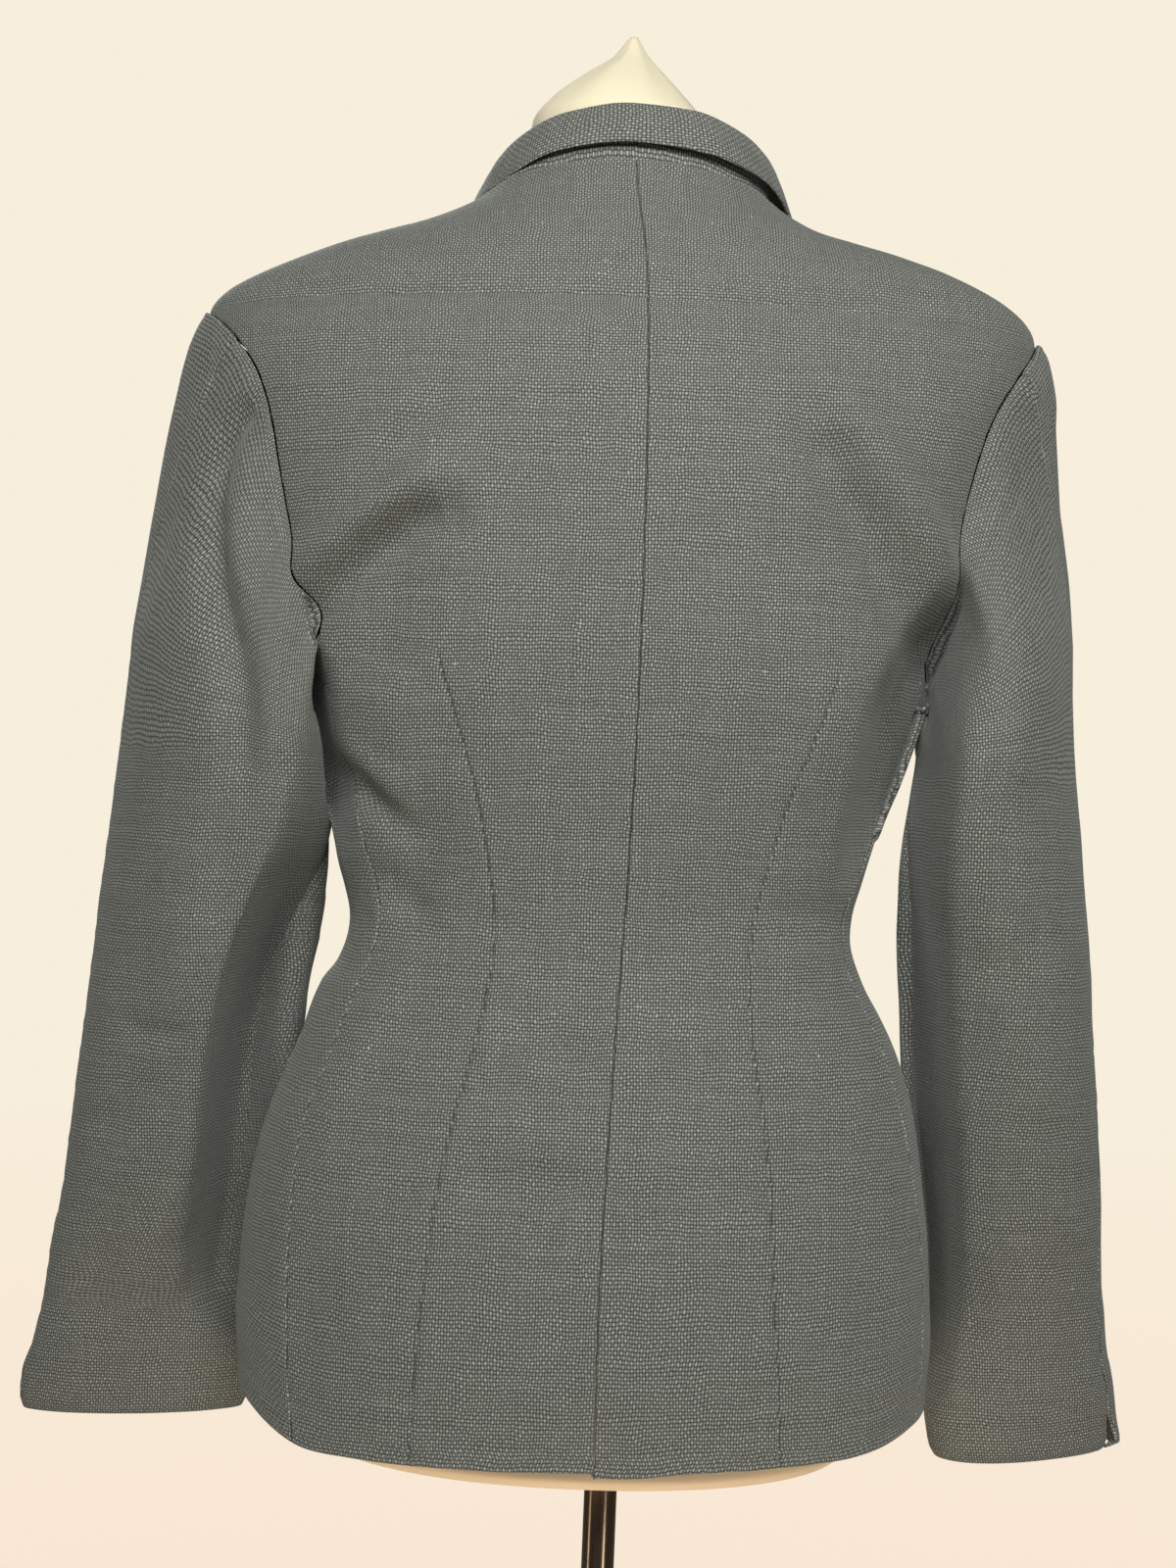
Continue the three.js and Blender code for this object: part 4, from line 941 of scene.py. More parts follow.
# %% [markdown]
# ## Sleeves
#
# A tailored sleeve is two pieces: a wide top sleeve and a narrow under sleeve. It starts from
# the armhole's own points, swells over the sleeve head and falls forward to the cuff. Every
# ring of the arm is an oval with its own width, depth and turn.
# %% Sleeve rings
SLEEVES = {
    1: columns(("inner", "outer", "y", "half_depth", "turn", "seam"), [
        (670, 197, 329, -57, 19, 0, 9), (700, 194, 325, -52, 22, 0, 9), (735, 190, 317, -46, 26, 2, 8),
        (780, 185, 309, -38, 32, 4, 8), (830, 178, 302, -30, 38, 6, 8), (880, 172, 297.5, -22, 43, 9, 9),
        (930, 165, 292.5, -15, 48, 14, 10), (976, 157, 289.5, -9, 53, 20, 12),
        (1020, 151, 285.5, -4, 58, 27, 14), (1060, 155, 282, 0, 63, 33, 15),
    ]),
    -1: columns(("inner", "outer", "y", "half_depth", "turn", "seam"), [
        (666, 210, 318, -58, 29, 0, 30), (700, 203, 314, -52, 32, 0, 30), (735, 199, 307, -46, 35, 0, 29),
        (780, 195, 302, -38, 39, 0, 27), (830, 188, 297, -30, 44, 0, 24), (880, 181, 291, -22, 49, 2, 20),
        (930, 178, 285, -15, 54, 4, 15), (976, 175, 281.5, -9, 59, 7, 9),
        (1020, 174, 276, -4, 64, 12, 4), (1060, 177, 270.5, 0, 68, 18, 2),
    ]),
}
OUTER_SET = {
    # z, how far the outer side of the sleeve stands out
    1: curve([(670, 1.2), (690, 1.7), (712, -0.9), (740, 0), (770, 1), (800, -0.5), (830, -1.2),
              (865, -2.2), (890, -2.6), (925, -2), (960, -3.2), (985, -3.2), (1005, -2.6),
              (1040, -1.7), (1080, -1), (1105, 0.4), (1130, 2.4), (1180, 1.8), (1215, 2.1),
              (1255, 2.2), (1285, 2.6), (1305, 1)]),
    -1: curve([(666, 0), (713, 0), (752, -0.6), (771, -1.8), (829, -1), (868, -1.3), (907, -2.2),
               (946, -3), (975, -3.9), (1004, -3.6), (1030, -2.5), (1062, -2), (1082, -0.8),
               (1101, 1.4), (1120, 4.2), (1140, 6.6), (1170, 7.2), (1198, 5.6), (1218, 4.2),
               (1257, 4.2), (1276, 5.6), (1296, 4.6), (1312, 1)]),
}
SLEEVE_TURN = {
    # z, where the sleeve turns away towards the body, and how far it drops
    1: columns(("line", "drop"), [
        (700, 200, 0), (722, 216, 14), (752, 234, 34), (773, 232, 44), (841, 223, 56), (915, 208, 60),
        (960, 196, 50), (1010, 180, 30), (1060, 168, 18),
    ], 6),
    -1: columns(("line", "drop"), [
        (690, 208, 0), (712, 218, 18), (760, 218, 38), (830, 213, 46), (900, 203, 46), (950, 198, 42),
        (1010, 196, 40), (1060, 198, 44),
    ], 6),
}
INNER_SET = {
    # z, how far the side next to the body stands out
    1: curve([(840, 0), (870, -2.5), (900, -4.5), (940, -6), (985, -4), (1012, 0), (1040, 3), (1080, 4),
              (1120, 4), (1150, 2), (1180, 0)]),
    -1: curve([(930, 0), (960, 1.2), (981, 2), (1000, 3.4), (1019, 4.4), (1039, 5.8), (1058, 6.4),
               (1076, 6.4), (1092, 5), (1112, 2), (1130, 0)]),
}
CUFF = {1: 670, -1: 666}
CUFF_TILT = {1: -0.04, -1: 0.12}
HEAD_BULGE = {1: 0.05, -1: 0.04}
HEAD_FALL = 0.022
ARM_TOP = 1060
TIP_TURN, FORE_TURN = -6, 238
ARMHOLE_GAP = 0.5
BODY_CLEARANCE = 1.8
LEAST_REACH = BODY_CLEARANCE + 60
HEAD_LENGTH = 245.0
FOREARM = 960.0
ARMHOLE_LEVELS = (
    1123, 1138, 1152, 1166, 1180, 1194, 1208, 1223, 1239, 1255, 1270, 1284, 1295, 1302, 1305,
)
HIND, LAST_LEVEL = 11, 14
AT_TIP, AT_FORE, AT_SIDE, AT_BACK, AT_END = 3, 16, 17, 23, 34


def armhole_point(w, sign):
    """The armhole's outline at place w: hind seam, shoulder tip, fore seam, underarm, hind seam."""
    on_back = (w < AT_TIP) | (w >= AT_BACK)
    back_row = np.where(w < AT_TIP, HIND + w, w - AT_BACK)
    row = np.clip(np.where(on_back, back_row, LAST_LEVEL - (w - AT_TIP)), 0, LAST_LEVEL)
    z = np.interp(row, np.arange(LAST_LEVEL + 1), ARMHOLE_LEVELS)
    angle = np.where(on_back, back_edge(sign, z), sign * front_edge(z))
    share = np.clip(1 - (w - AT_SIDE) / (AT_BACK - AT_SIDE), 0, 1)
    under = (w > AT_SIDE) & (w < AT_BACK)
    ends = back_edge(sign, np.array(float(JUNCTION))), sign * front_angle(SIDE_FRONT(JUNCTION), JUNCTION)
    angle = np.where(under, mix(ends[0], ends[1], share), angle)
    z = np.where(under, JUNCTION - UNDERARM_DIP * (1 - np.abs(2 * share - 1) ** 2.2), z)
    return body_surface(angle, z)


def clear_of_body(points, sign):
    """Moves points of a sleeve out sideways until they clear the side of the body."""
    x, y, z = points[..., 0], points[..., 1], points[..., 2]
    half, n = BODY["half_width"](z), BODY["square"](z)
    depth = np.where(y > 0, BODY["back"](z), BODY["front"](z))
    share = np.minimum(np.abs(y) / depth, 1)
    ridge = np.maximum(fold_height(x, z, BACK_FOLDS), 0)
    reach = half * (1 - share ** n) ** (1 / n) + ridge + BODY_CLEARANCE
    reach = reach + np.maximum(side_set(x, z), 0) * (reach > LEAST_REACH)
    moved = points.copy()
    inside = (reach > LEAST_REACH) & (sign * x < reach)
    moved[..., 0] = np.where(inside, sign * reach, x)
    return moved


def arm_point(sign, turn, z):
    row = SLEEVES[sign]
    angle, lag = np.radians(turn), np.radians(row["turn"](z))
    half = (row["outer"](z) - row["inner"](z)) / 2
    middle = (row["outer"](z) + row["inner"](z)) / 2
    x = middle + half * np.cos(angle)
    y = row["y"](z) + row["half_depth"](z) * np.sin(angle - lag)
    turned = SLEEVE_TURN[sign]["drop"](z) * ease((SLEEVE_TURN[sign]["line"](z) - x) / 26)
    turned = turned * ease((np.sin(angle - lag) + 0.35) / 0.6)
    x, y = x * (1 + turned / EYE_DISTANCE), y - turned
    near_cuff = 1 - ease((z - CUFF[sign]) / 90)
    height = z + CUFF_TILT[sign] * (x - middle) * near_cuff
    return clear_of_body(np.stack([sign * x, y, height + 0 * x], -1), sign)


def turn_at(w, sign, z):
    seam = SLEEVES[sign]["seam"](z)
    over = mix(seam, TIP_TURN, w / AT_TIP)
    front = mix(TIP_TURN, FORE_TURN - 360, (w - AT_TIP) / (AT_FORE - AT_TIP))
    under = mix(FORE_TURN, seam, (w - AT_FORE) / (AT_END - AT_FORE))
    return np.where(w <= AT_TIP, over, np.where(w <= AT_FORE, front, under))


# %% Sleeve grid
def sleeve_grid(sign, w, head, arm):
    start = armhole_point(w, sign)
    start = start + np.array([sign * ARMHOLE_GAP, 0, 0])
    turn = turn_at(w, sign, float(ARM_TOP))
    end = arm_point(sign, turn, np.full(w.shape, float(ARM_TOP)))
    reach = np.linalg.norm(end - start, axis=-1, keepdims=True)
    leave = start + np.array([sign, 0, 0]) * reach * HEAD_BULGE[sign]
    below = arm_point(sign, turn, np.full(w.shape, float(ARM_TOP - 20)))
    arrive = end - (below - end) * reach * HEAD_FALL
    t = head[:, None, None]
    bezier = ((1 - t) ** 3 * start + 3 * t * (1 - t) ** 2 * leave
              + 3 * t * t * (1 - t) * arrive + t ** 3 * end)
    cleared = clear_of_body(bezier, sign)
    cleared = mix(bezier, cleared, ease(t * 14))
    z = np.broadcast_to(arm[:, None], (len(arm), len(w)))
    rings = arm_point(sign, turn_at(w[None, :] + 0 * z, sign, z), z)
    return np.concatenate([cleared, rings], axis=0)


SLEEVE_FOLDS = {
    # x0, z0, x1, z1, x2, z2, depth, width, taper
    1: [
        (198, 1246, 216, 1236, 220, 1206, -8.5, 8, 0.35),
        (219, 1214, 222, 1168, 206, 1120, -11, 9, 0.35),
        (208, 1128, 194, 1092, 196, 1040, -11, 11, 0.4),
        (204, 1212, 206, 1170, 192, 1140, 5, 10, 0.5),
        (236, 1190, 246, 1120, 236, 1040, 2.4, 18, 0.6),
        (196, 1040, 204, 980, 192, 915, -3, 16, 0.5),
        (222, 1010, 230, 950, 222, 880, 2.4, 16, 0.6),
        (252, 1010, 262, 930, 268, 860, -1.8, 18, 0.6),
        (272, 1120, 270, 1060, 280, 990, -1.2, 9, 0.7),
        (224, 904, 244, 897, 264, 903, -4, 7, 0.5),
        (240, 878, 262, 862, 284, 828, -3.4, 9, 0.5),
        (222, 850, 240, 800, 246, 740, 2.4, 18, 0.6),
        (216, 800, 226, 776, 244, 768, -2, 9, 0.7),
        (206, 760, 222, 742, 250, 730, -2.6, 12, 0.6),
        (270, 790, 276, 750, 286, 712, -1.6, 13, 0.6),
        (218, 1284, 226, 1264, 226, 1236, -1.2, 8, 0.7),
    ],
    -1: [
        (-222, 1250, -232, 1190, -226, 1130, -2.8, 14, 0.6),
        (-204, 1150, -214, 1100, -206, 1040, 2.4, 15, 0.6),
        (-238, 1110, -250, 1040, -244, 960, -2.2, 18, 0.6),
        (-194, 1010, -206, 940, -206, 870, -2.6, 14, 0.6),
        (-258, 1000, -268, 930, -270, 850, 2, 18, 0.6),
        (-224, 900, -238, 830, -236, 760, 2, 20, 0.6),
        (-208, 800, -224, 760, -226, 716, -2, 14, 0.6),
        (-268, 810, -280, 760, -286, 716, -1.8, 15, 0.6),
        (-218, 1282, -228, 1262, -230, 1236, -1.2, 8, 0.7),
        (-196, 964, -216, 950, -240, 958, -1.6, 9, 0.7),
        (-240, 872, -258, 862, -276, 866, -1.2, 8, 0.7),
        (-214, 1060, -226, 1046, -246, 1050, -1, 8, 0.7),
    ],
}
SLEEVE_FRONT_FOLDS = {
    1: [
        (190, 1180, 214, 1120, 206, 1050, -2.4, 18, 0.6),
        (176, 1000, 206, 986, 246, 992, -2.2, 13, 0.6),
        (180, 960, 212, 950, 250, 962, -1.8, 12, 0.6),
        (250, 1180, 262, 1100, 262, 1010, 1.8, 22, 0.6),
        (210, 900, 236, 830, 250, 760, 1.6, 24, 0.6),
    ],
    -1: [
        (-200, 1180, -222, 1120, -214, 1050, -2.4, 18, 0.6),
        (-186, 1004, -214, 990, -250, 998, -2.2, 13, 0.6),
        (-190, 962, -218, 952, -252, 966, -1.8, 12, 0.6),
        (-246, 1180, -256, 1100, -258, 1010, 1.8, 22, 0.6),
        (-218, 900, -236, 830, -246, 760, 1.6, 24, 0.6),
    ],
}
CUFF_BAND, CUFF_DROP = 6.5, 3.0
VENT_FLARE, VENT_SINK = 5.5, 1.2


def ring_places(sign, start, end):
    """Places round the loop from one seam to the other, evenly spaced on the forearm."""
    fine = np.linspace(start, end, 400)
    ring = arm_point(sign, turn_at(fine, sign, FOREARM), np.full(fine.shape, FOREARM))
    length = np.concatenate([[0], np.cumsum(np.linalg.norm(np.diff(ring, axis=0), axis=-1))])
    return np.interp(steps_between(0, length[-1]), length, fine)


def sleeve(side, sign):
    head = steps_between(0, HEAD_LENGTH, True, False) / HEAD_LENGTH
    arm = steps_between(CUFF[sign], ARM_TOP, True, False)[::-1][1:]
    for name, start, end in (("top", 0, AT_FORE), ("under", AT_FORE, AT_END)):
        w = ring_places(sign, start, end)
        grid = sleeve_grid(sign, w, head, arm)
        centre = grid.mean(axis=1, keepdims=True)
        outward = (grid - centre) * np.array([1, 1, 0.1])
        normal = grid_normal(grid, outward)
        down = np.concatenate([head * HEAD_LENGTH, HEAD_LENGTH + ARM_TOP - arm])
        from_head = down[:, None] + 0 * grid[..., 0]
        from_cuff = (HEAD_LENGTH + ARM_TOP - CUFF[sign]) - from_head
        x, z = grid[..., 0], grid[..., 2]
        back = ease(normal[..., 1] / 0.5)
        front = ease(-normal[..., 1] / 0.5)
        height = back * fold_height(x, z, SLEEVE_FOLDS[sign])
        height = height + front * fold_height(x, z, SLEEVE_FRONT_FOLDS[sign])
        height += 0.9 * BROAD_WAVES(grid + 37.0) * ease(from_head / 60) + 0.1 * FINE_WAVES(grid)
        aside = sign * normal[..., 0]
        height += OUTER_SET[sign](z) * np.clip(aside, 0, 1) ** 1.2
        height += INNER_SET[sign](z) * np.clip(-aside, 0, 1) ** 1.2
        near_tip = np.exp(-(((w - AT_TIP) / 5.0) ** 2))[None, :]
        height += 1.3 * near_tip * np.exp(-(((from_head - 7) / 6) ** 2))
        height -= CUFF_DROP * np.clip(1 - from_cuff / CUFF_BAND, 0, 1) ** 1.3
        height -= 0.3 * np.exp(-(((from_cuff - CUFF_BAND) / 0.9) ** 2))
        to_first = running_length(grid)
        to_last = to_first[:, -1:] - to_first
        side_edge = np.minimum(to_first, to_last)
        height += press_marks(side_edge, from_cuff, grid) + seam_pucker(side_edge, grid)
        if sign < 0:
            # the right cuff's short slit: the top sleeve's corner turns out over the under sleeve
            vent = ease((from_cuff - 1) / 4) * (1 - ease((from_cuff - 6) / 26))
            if name == "top":
                height += VENT_FLARE * vent * np.exp(-((to_first / 9) ** 2))
            else:
                under = 1 - ease((from_cuff - 10) / 24)
                height -= VENT_SINK * under * np.exp(-((to_last / 5) ** 2))
        grid = grid + normal * height[..., None]
        grid = close_seams(grid, to_first, to_last)
        seam = np.minimum(side_edge, from_head)
        cloth_pieces[f"sleeve_{side}_{name}"] = shell(
            f"cloth_sleeve_{side}_{name}", grid, from_cuff, normal, seam=seam)


sleeve("left", 1)
sleeve("right", -1)
print("sleeves", len(cloth_pieces["sleeve_left_top"].data.polygons))

# %% [markdown]
# ## Collar
#
# The collar is a stand that rises from the neck seam and a fall that rolls over it. Behind,
# the fall is short, so part of the stand shows under it, with its own centre seam.
# %% Collar stand
STAND_END = float(front_angle(np.array(float(ROLL_TOP_X)), float(ROLL_TOP_Z)))
STAND_HEIGHT, STAND_SIDE, STAND_FRONT, STAND_LEAN = 21, 13, 4, 3
STAND_LENGTH, STAND_INSET, STAND_SINK = 300, 0.9, 1.6
STAND_SEAM_DEPTH, STAND_SEAM_WIDTH = 1.5, 0.7
NECK_HALF_WIDTH, NECK_DEPTH, NECK_RADIUS = 79, 56, 66


def collar_stand():
    angle = STAND_END * (2 * steps_between(0, STAND_LENGTH) / STAND_LENGTH - 1)
    up = steps_between(0, 20) / 20
    t, a = np.meshgrid(up, angle, indexing="ij")
    z = neck_height(a)
    share = np.sin(np.minimum(np.abs(a), np.pi / 2)) ** 2
    front = ease((np.abs(a) - np.pi / 2) / (STAND_END - np.pi / 2))
    full = mix(mix(STAND_HEIGHT, STAND_SIDE, share), STAND_FRONT, front)
    height = full * t
    base = section_point(BODY, a, z)
    out = np.stack([base[..., 0] / NECK_HALF_WIDTH ** 2, base[..., 1] / NECK_DEPTH ** 2, 0 * z], -1)
    out = unit(out)
    grid = base - out * (STAND_INSET + STAND_LEAN * height / STAND_HEIGHT)[..., None]
    grid[..., 2] += height - STAND_SINK
    centre = np.abs(base[..., 0] - centre_back(NECK))
    behind = base[..., 1] > 0
    groove = STAND_SEAM_DEPTH * np.exp(-((centre / STAND_SEAM_WIDTH) ** 2)) * behind
    to_end = np.minimum(a + STAND_END, STAND_END - a) * NECK_RADIUS
    edge = np.minimum(np.minimum(t, 1 - t) * full, to_end)
    return shell("cloth_collar_stand", grid, edge, out, groove=groove)


cloth_pieces["collar_stand"] = collar_stand()

# %% Collar fall
FALL = columns(("fold_x", "fold_y", "fold_z", "rise", "leaf_x", "leaf_y", "leaf_z"), [
    # station: -1 right front end, 0 behind the neck, 1 left front end; then where the fold lies,
    # how high it rolls, and where the outer edge lies
    (-1, -53, -66, 1358, 2, -92, -69, 1338), (-0.88, -63, -46, 1377, 5, -102, -52, 1352),
    (-0.74, -73, -20, 1391, 9.5, -99, -28, 1367), (-0.58, -73.5, 3, 1394.5, 11, -88, 5, 1379),
    (-0.42, -59, 26, 1404, 10, -71, 33, 1385.5), (-0.22, -33, 43, 1410, 9.5, -41, 51.5, 1391.5),
    (0, 0, 49, 1410.8, 9.5, 0, 58.5, 1394), (0.22, 33, 43, 1407, 9.5, 40, 50.5, 1390),
    (0.42, 57, 26, 1399.5, 9.5, 65, 31, 1382), (0.58, 70, 3, 1389.5, 10.5, 82.5, 4, 1375),
    (0.74, 70, -20, 1387, 9, 95, -28, 1364), (0.88, 62, -46, 1376, 5, 100, -52, 1351),
    (1, 53, -66, 1358, 2, 92, -69, 1338),
])


FALL_HALF_LENGTH, FALL_WIDTH = 200, 36


def collar_fall():
    station = steps_between(0, 2 * FALL_HALF_LENGTH) / FALL_HALF_LENGTH - 1
    down = steps_between(0, FALL_WIDTH) / FALL_WIDTH
    u, t = np.meshgrid(station, down, indexing="ij")
    fold = np.stack([FALL["fold_x"](u), FALL["fold_y"](u), FALL["fold_z"](u)], -1)
    leaf = np.stack([FALL["leaf_x"](u), FALL["leaf_y"](u), FALL["leaf_z"](u)], -1)
    rise = np.stack([0 * u, 0 * u, FALL["rise"](u)], -1)
    over = (leaf - fold) * np.array([0.62, 0.62, 0])
    t3 = t[..., None]
    grid = ((1 - t3) ** 3 * fold + 3 * t3 * (1 - t3) ** 2 * (fold + rise)
            + 3 * t3 ** 2 * (1 - t3) * (fold + rise + over) + t3 ** 3 * leaf)
    outward = grid - np.array([0, 0, 1370])
    length = np.linalg.norm(np.diff(grid, axis=1), axis=-1).sum(axis=1)[:, None]
    ends = np.minimum(station + 1, 1 - station)[:, None] * FALL_HALF_LENGTH
    edge = np.minimum(np.minimum(t, 1 - t) * length, ends + 0 * t)
    normal = grid_normal(grid, outward)
    grid = grid + normal * (0.45 * BROAD_WAVES(grid * 2.2))[..., None]
    return shell("cloth_collar_fall", grid, edge, outward)


cloth_pieces["collar_fall"] = collar_fall()
print("collar", len(cloth_pieces["collar_fall"].data.polygons))

# %% [markdown]
# ## Buttons
#
# Three dark turned buttons, each with a dished middle and two bars of thread across it. They
# stay done up, so they are part of the closed front.
# %% Buttons
BUTTON_HEIGHTS = (1106, 1018, 930)
BUTTON_PROFILE = [(0, 0), (7.6, 0), (9.2, 0.4), (10, 1.4), (10, 2.6), (9.5, 3.5), (8.7, 4), (7.9, 3.9),
                  (7.1, 3.2), (6.2, 2.8), (4.6, 2.7), (2.4, 2.7)]
BUTTON_TURNS = 48
BUTTON_LIFT = 0.5
THREAD_STRANDS = (-1.7 - 0.35, -1.7 + 0.35, 1.7 - 0.35, 1.7 + 0.35)
THREAD_RADIUS, THREAD_REACH, THREAD_FOOT, THREAD_RISE = 0.32, 1.9, 2.75, 0.75
THREAD_STEPS, THREAD_TURNS = 8, 8


def lathe(profile, turns):
    """Points and faces of a profile of radius and height turned round the upright axis."""
    angle = np.arange(turns) * 2 * np.pi / turns
    rings = [[(r * math.cos(a), r * math.sin(a), h) for a in angle] for r, h in profile if r > 0]
    points = [p for ring in rings for p in ring]
    faces = []
    for i in range(len(rings) - 1):
        for j in range(turns):
            k = (j + 1) % turns
            faces.append((i * turns + j, i * turns + k, (i + 1) * turns + k, (i + 1) * turns + j))
    last = len(rings) - 1
    faces.append(tuple(range(turns - 1, -1, -1)))
    faces.append(tuple(last * turns + j for j in range(turns)))
    return np.array(points, float), faces


def button(index, z):
    points, faces = lathe(BUTTON_PROFILE, BUTTON_TURNS)
    angle = np.array(math.pi)
    normal = body_normal(angle, np.array(float(z)))
    lift = OVERLAP_LIFT + SEAM_GAP + BUTTON_LIFT
    place = section_point(BODY, angle, np.array(float(z))) + normal * lift
    side = np.array([1.0, 0, 0])
    up = np.cross(normal, side)
    placed = place + points[:, :1] * side + points[:, 1:2] * up + points[:, 2:3] * normal
    piece = new_piece(f"turned_button_{index}", placed, faces)
    thread_points, thread_faces = [], []
    steps = np.linspace(0, 1, THREAD_STEPS + 1)
    for centre in THREAD_STRANDS:
        start = len(thread_points)
        for s in steps:
            for a in np.arange(THREAD_TURNS) * 2 * np.pi / THREAD_TURNS:
                arch = THREAD_FOOT + THREAD_RISE * math.sin(np.pi * s)
                local = (centre + THREAD_RADIUS * math.cos(a), mix(-THREAD_REACH, THREAD_REACH, s),
                         arch + THREAD_RADIUS * math.sin(a))
                thread_points.append(place + local[0] * side + local[1] * up + local[2] * normal)
        for i in range(THREAD_STEPS):
            low, high = start + i * THREAD_TURNS, start + (i + 1) * THREAD_TURNS
            for j in range(THREAD_TURNS):
                k = (j + 1) % THREAD_TURNS
                thread_faces.append((low + j, low + k, high + k, high + j))
        thread_faces.append(tuple(start + j for j in range(THREAD_TURNS - 1, -1, -1)))
        thread_faces.append(tuple(start + THREAD_STEPS * THREAD_TURNS + j for j in range(THREAD_TURNS)))
    thread = new_piece(f"button_thread_{index}", thread_points, thread_faces)
    thread.parent = piece
    return piece, thread


buttons = [button(i + 1, z) for i, z in enumerate(BUTTON_HEIGHTS)]
print(len(buttons), "buttons")

# %% [markdown]
# ## Dress form and stand
#
# The form is a padded torso under smooth jersey, with a soft cap gathered to a point over its
# neck. Its underside shows as a pale edge below the hem, its foot painted peach as warm light
# from the floor. A bright pole carries it.
# %% Form
FORM = columns(("half_width", "back", "front", "square", "x"), [
    (685, 148, 98, 94, 2.2, 0), (692, 156, 104, 100, 2.2, 0), (760, 172, 104, 104, 2.2, 0),
    (820, 172, 99, 104, 2.2, 0), (870, 160, 88, 101, 2.2, 0), (920, 140, 73, 94, 2.15, 0),
    (975, 126, 61, 91, 2.15, 0), (1020, 133, 66, 98, 2.2, 0), (1060, 138, 74, 109, 2.2, 0),
    (1110, 142, 84, 120, 2.3, 0), (1150, 152, 88, 122, 2.3, 0), (1200, 172, 89, 114, 2.3, 0),
    (1250, 181, 86, 98, 2.2, 0), (1284, 187, 79, 80, 2.0, 0), (1308, 187, 73, 69, 1.9, 0),
    (1321, 173, 69, 62, 1.86, 0), (1337, 149, 64, 56, 1.86, 0), (1354.4, 118, 58, 53, 1.9, 0),
    (1371.8, 80, 51, 50, 1.98, 1), (1386, 58, 44, 44, 2.0, 3), (1405, 51, 42, 41, 2.0, 5),
    (1420, 49, 41, 40, 2.0, 6), (1431, 41, 35, 34, 2.0, 6), (1446, 25, 22, 21, 2.0, 4),
    (1458, 11, 11, 10, 2.0, 1), (1470, 2.5, 2.5, 2.5, 2.0, 0),
])
FORM_TURNS = 120


def dress_form():
    heights = np.concatenate([np.linspace(685, 694, 6), np.linspace(700, 1380, 120),
                              np.linspace(1384, 1470, 60)])
    angle = np.arange(FORM_TURNS) * 2 * np.pi / FORM_TURNS
    z, a = np.meshgrid(heights, angle, indexing="ij")
    points = section_point(FORM, a, z)
    points[..., 0] += FORM["x"](z)
    gather = np.exp(-(((z - 1440) / 22) ** 2))
    pleats = np.sin(a * 9 + 0.06 * z) * 0.35 + np.sin(a * 4 + 1.3) * 0.5
    out = unit(np.stack([points[..., 0], points[..., 1], 0 * z], -1))
    points = points + out * (gather * pleats)[..., None]
    rows = len(heights)
    index = np.arange(rows * FORM_TURNS).reshape(rows, FORM_TURNS)
    nextcol = np.roll(index, -1, axis=1)
    faces = np.stack([index[:-1], index[1:], nextcol[1:], nextcol[:-1]], -1).reshape(-1, 4).tolist()
    faces.append(index[0].tolist())
    faces.append(index[-1][::-1].tolist())
    return new_piece("covered_form", points.reshape(-1, 3), faces)


form = dress_form()
print("form", len(form.data.polygons))

# %% Stand
def stand_piece(name, profile, turns):
    points, faces = lathe(profile, turns)
    points[:, 0] -= JACKET_SHIFT
    return new_piece(name, points, faces)


pole = stand_piece("bright_pole", [(8.9, 14.6), (9.2, 15.0), (9.2, 683.8), (8.9, 684.2)], 64)
base = stand_piece("round_base", [(163, 0), (164.4, 0.6), (165, 2), (165, 5), (164, 6.6), (162, 8),
                                  (135, 13), (105, 14), (14, 14)], 128)
print("stand made")

# %% [markdown]
# ## The suiting
#
# Up close this cloth is a coarse plain weave: thick threads pass over and under each other,
# so each crossing is a small rounded float and each corner between four of them a pit, whose
# darkness is painted shade.
# Two sine waves give the threads, and their product tells which thread is on top. Thread by
# thread the wool is a little lighter or darker, and here and there a pale fleck has been spun in.
# %% Suiting
WARP_PITCH, WEFT_PITCH = 1.55, 1.95
# near black: the painted shade down in the pits between the threads
CLOTH_PIT_SHADE = (0.018, 0.0195, 0.017)
CLOTH_LIGHT = (0.40, 0.414, 0.37)


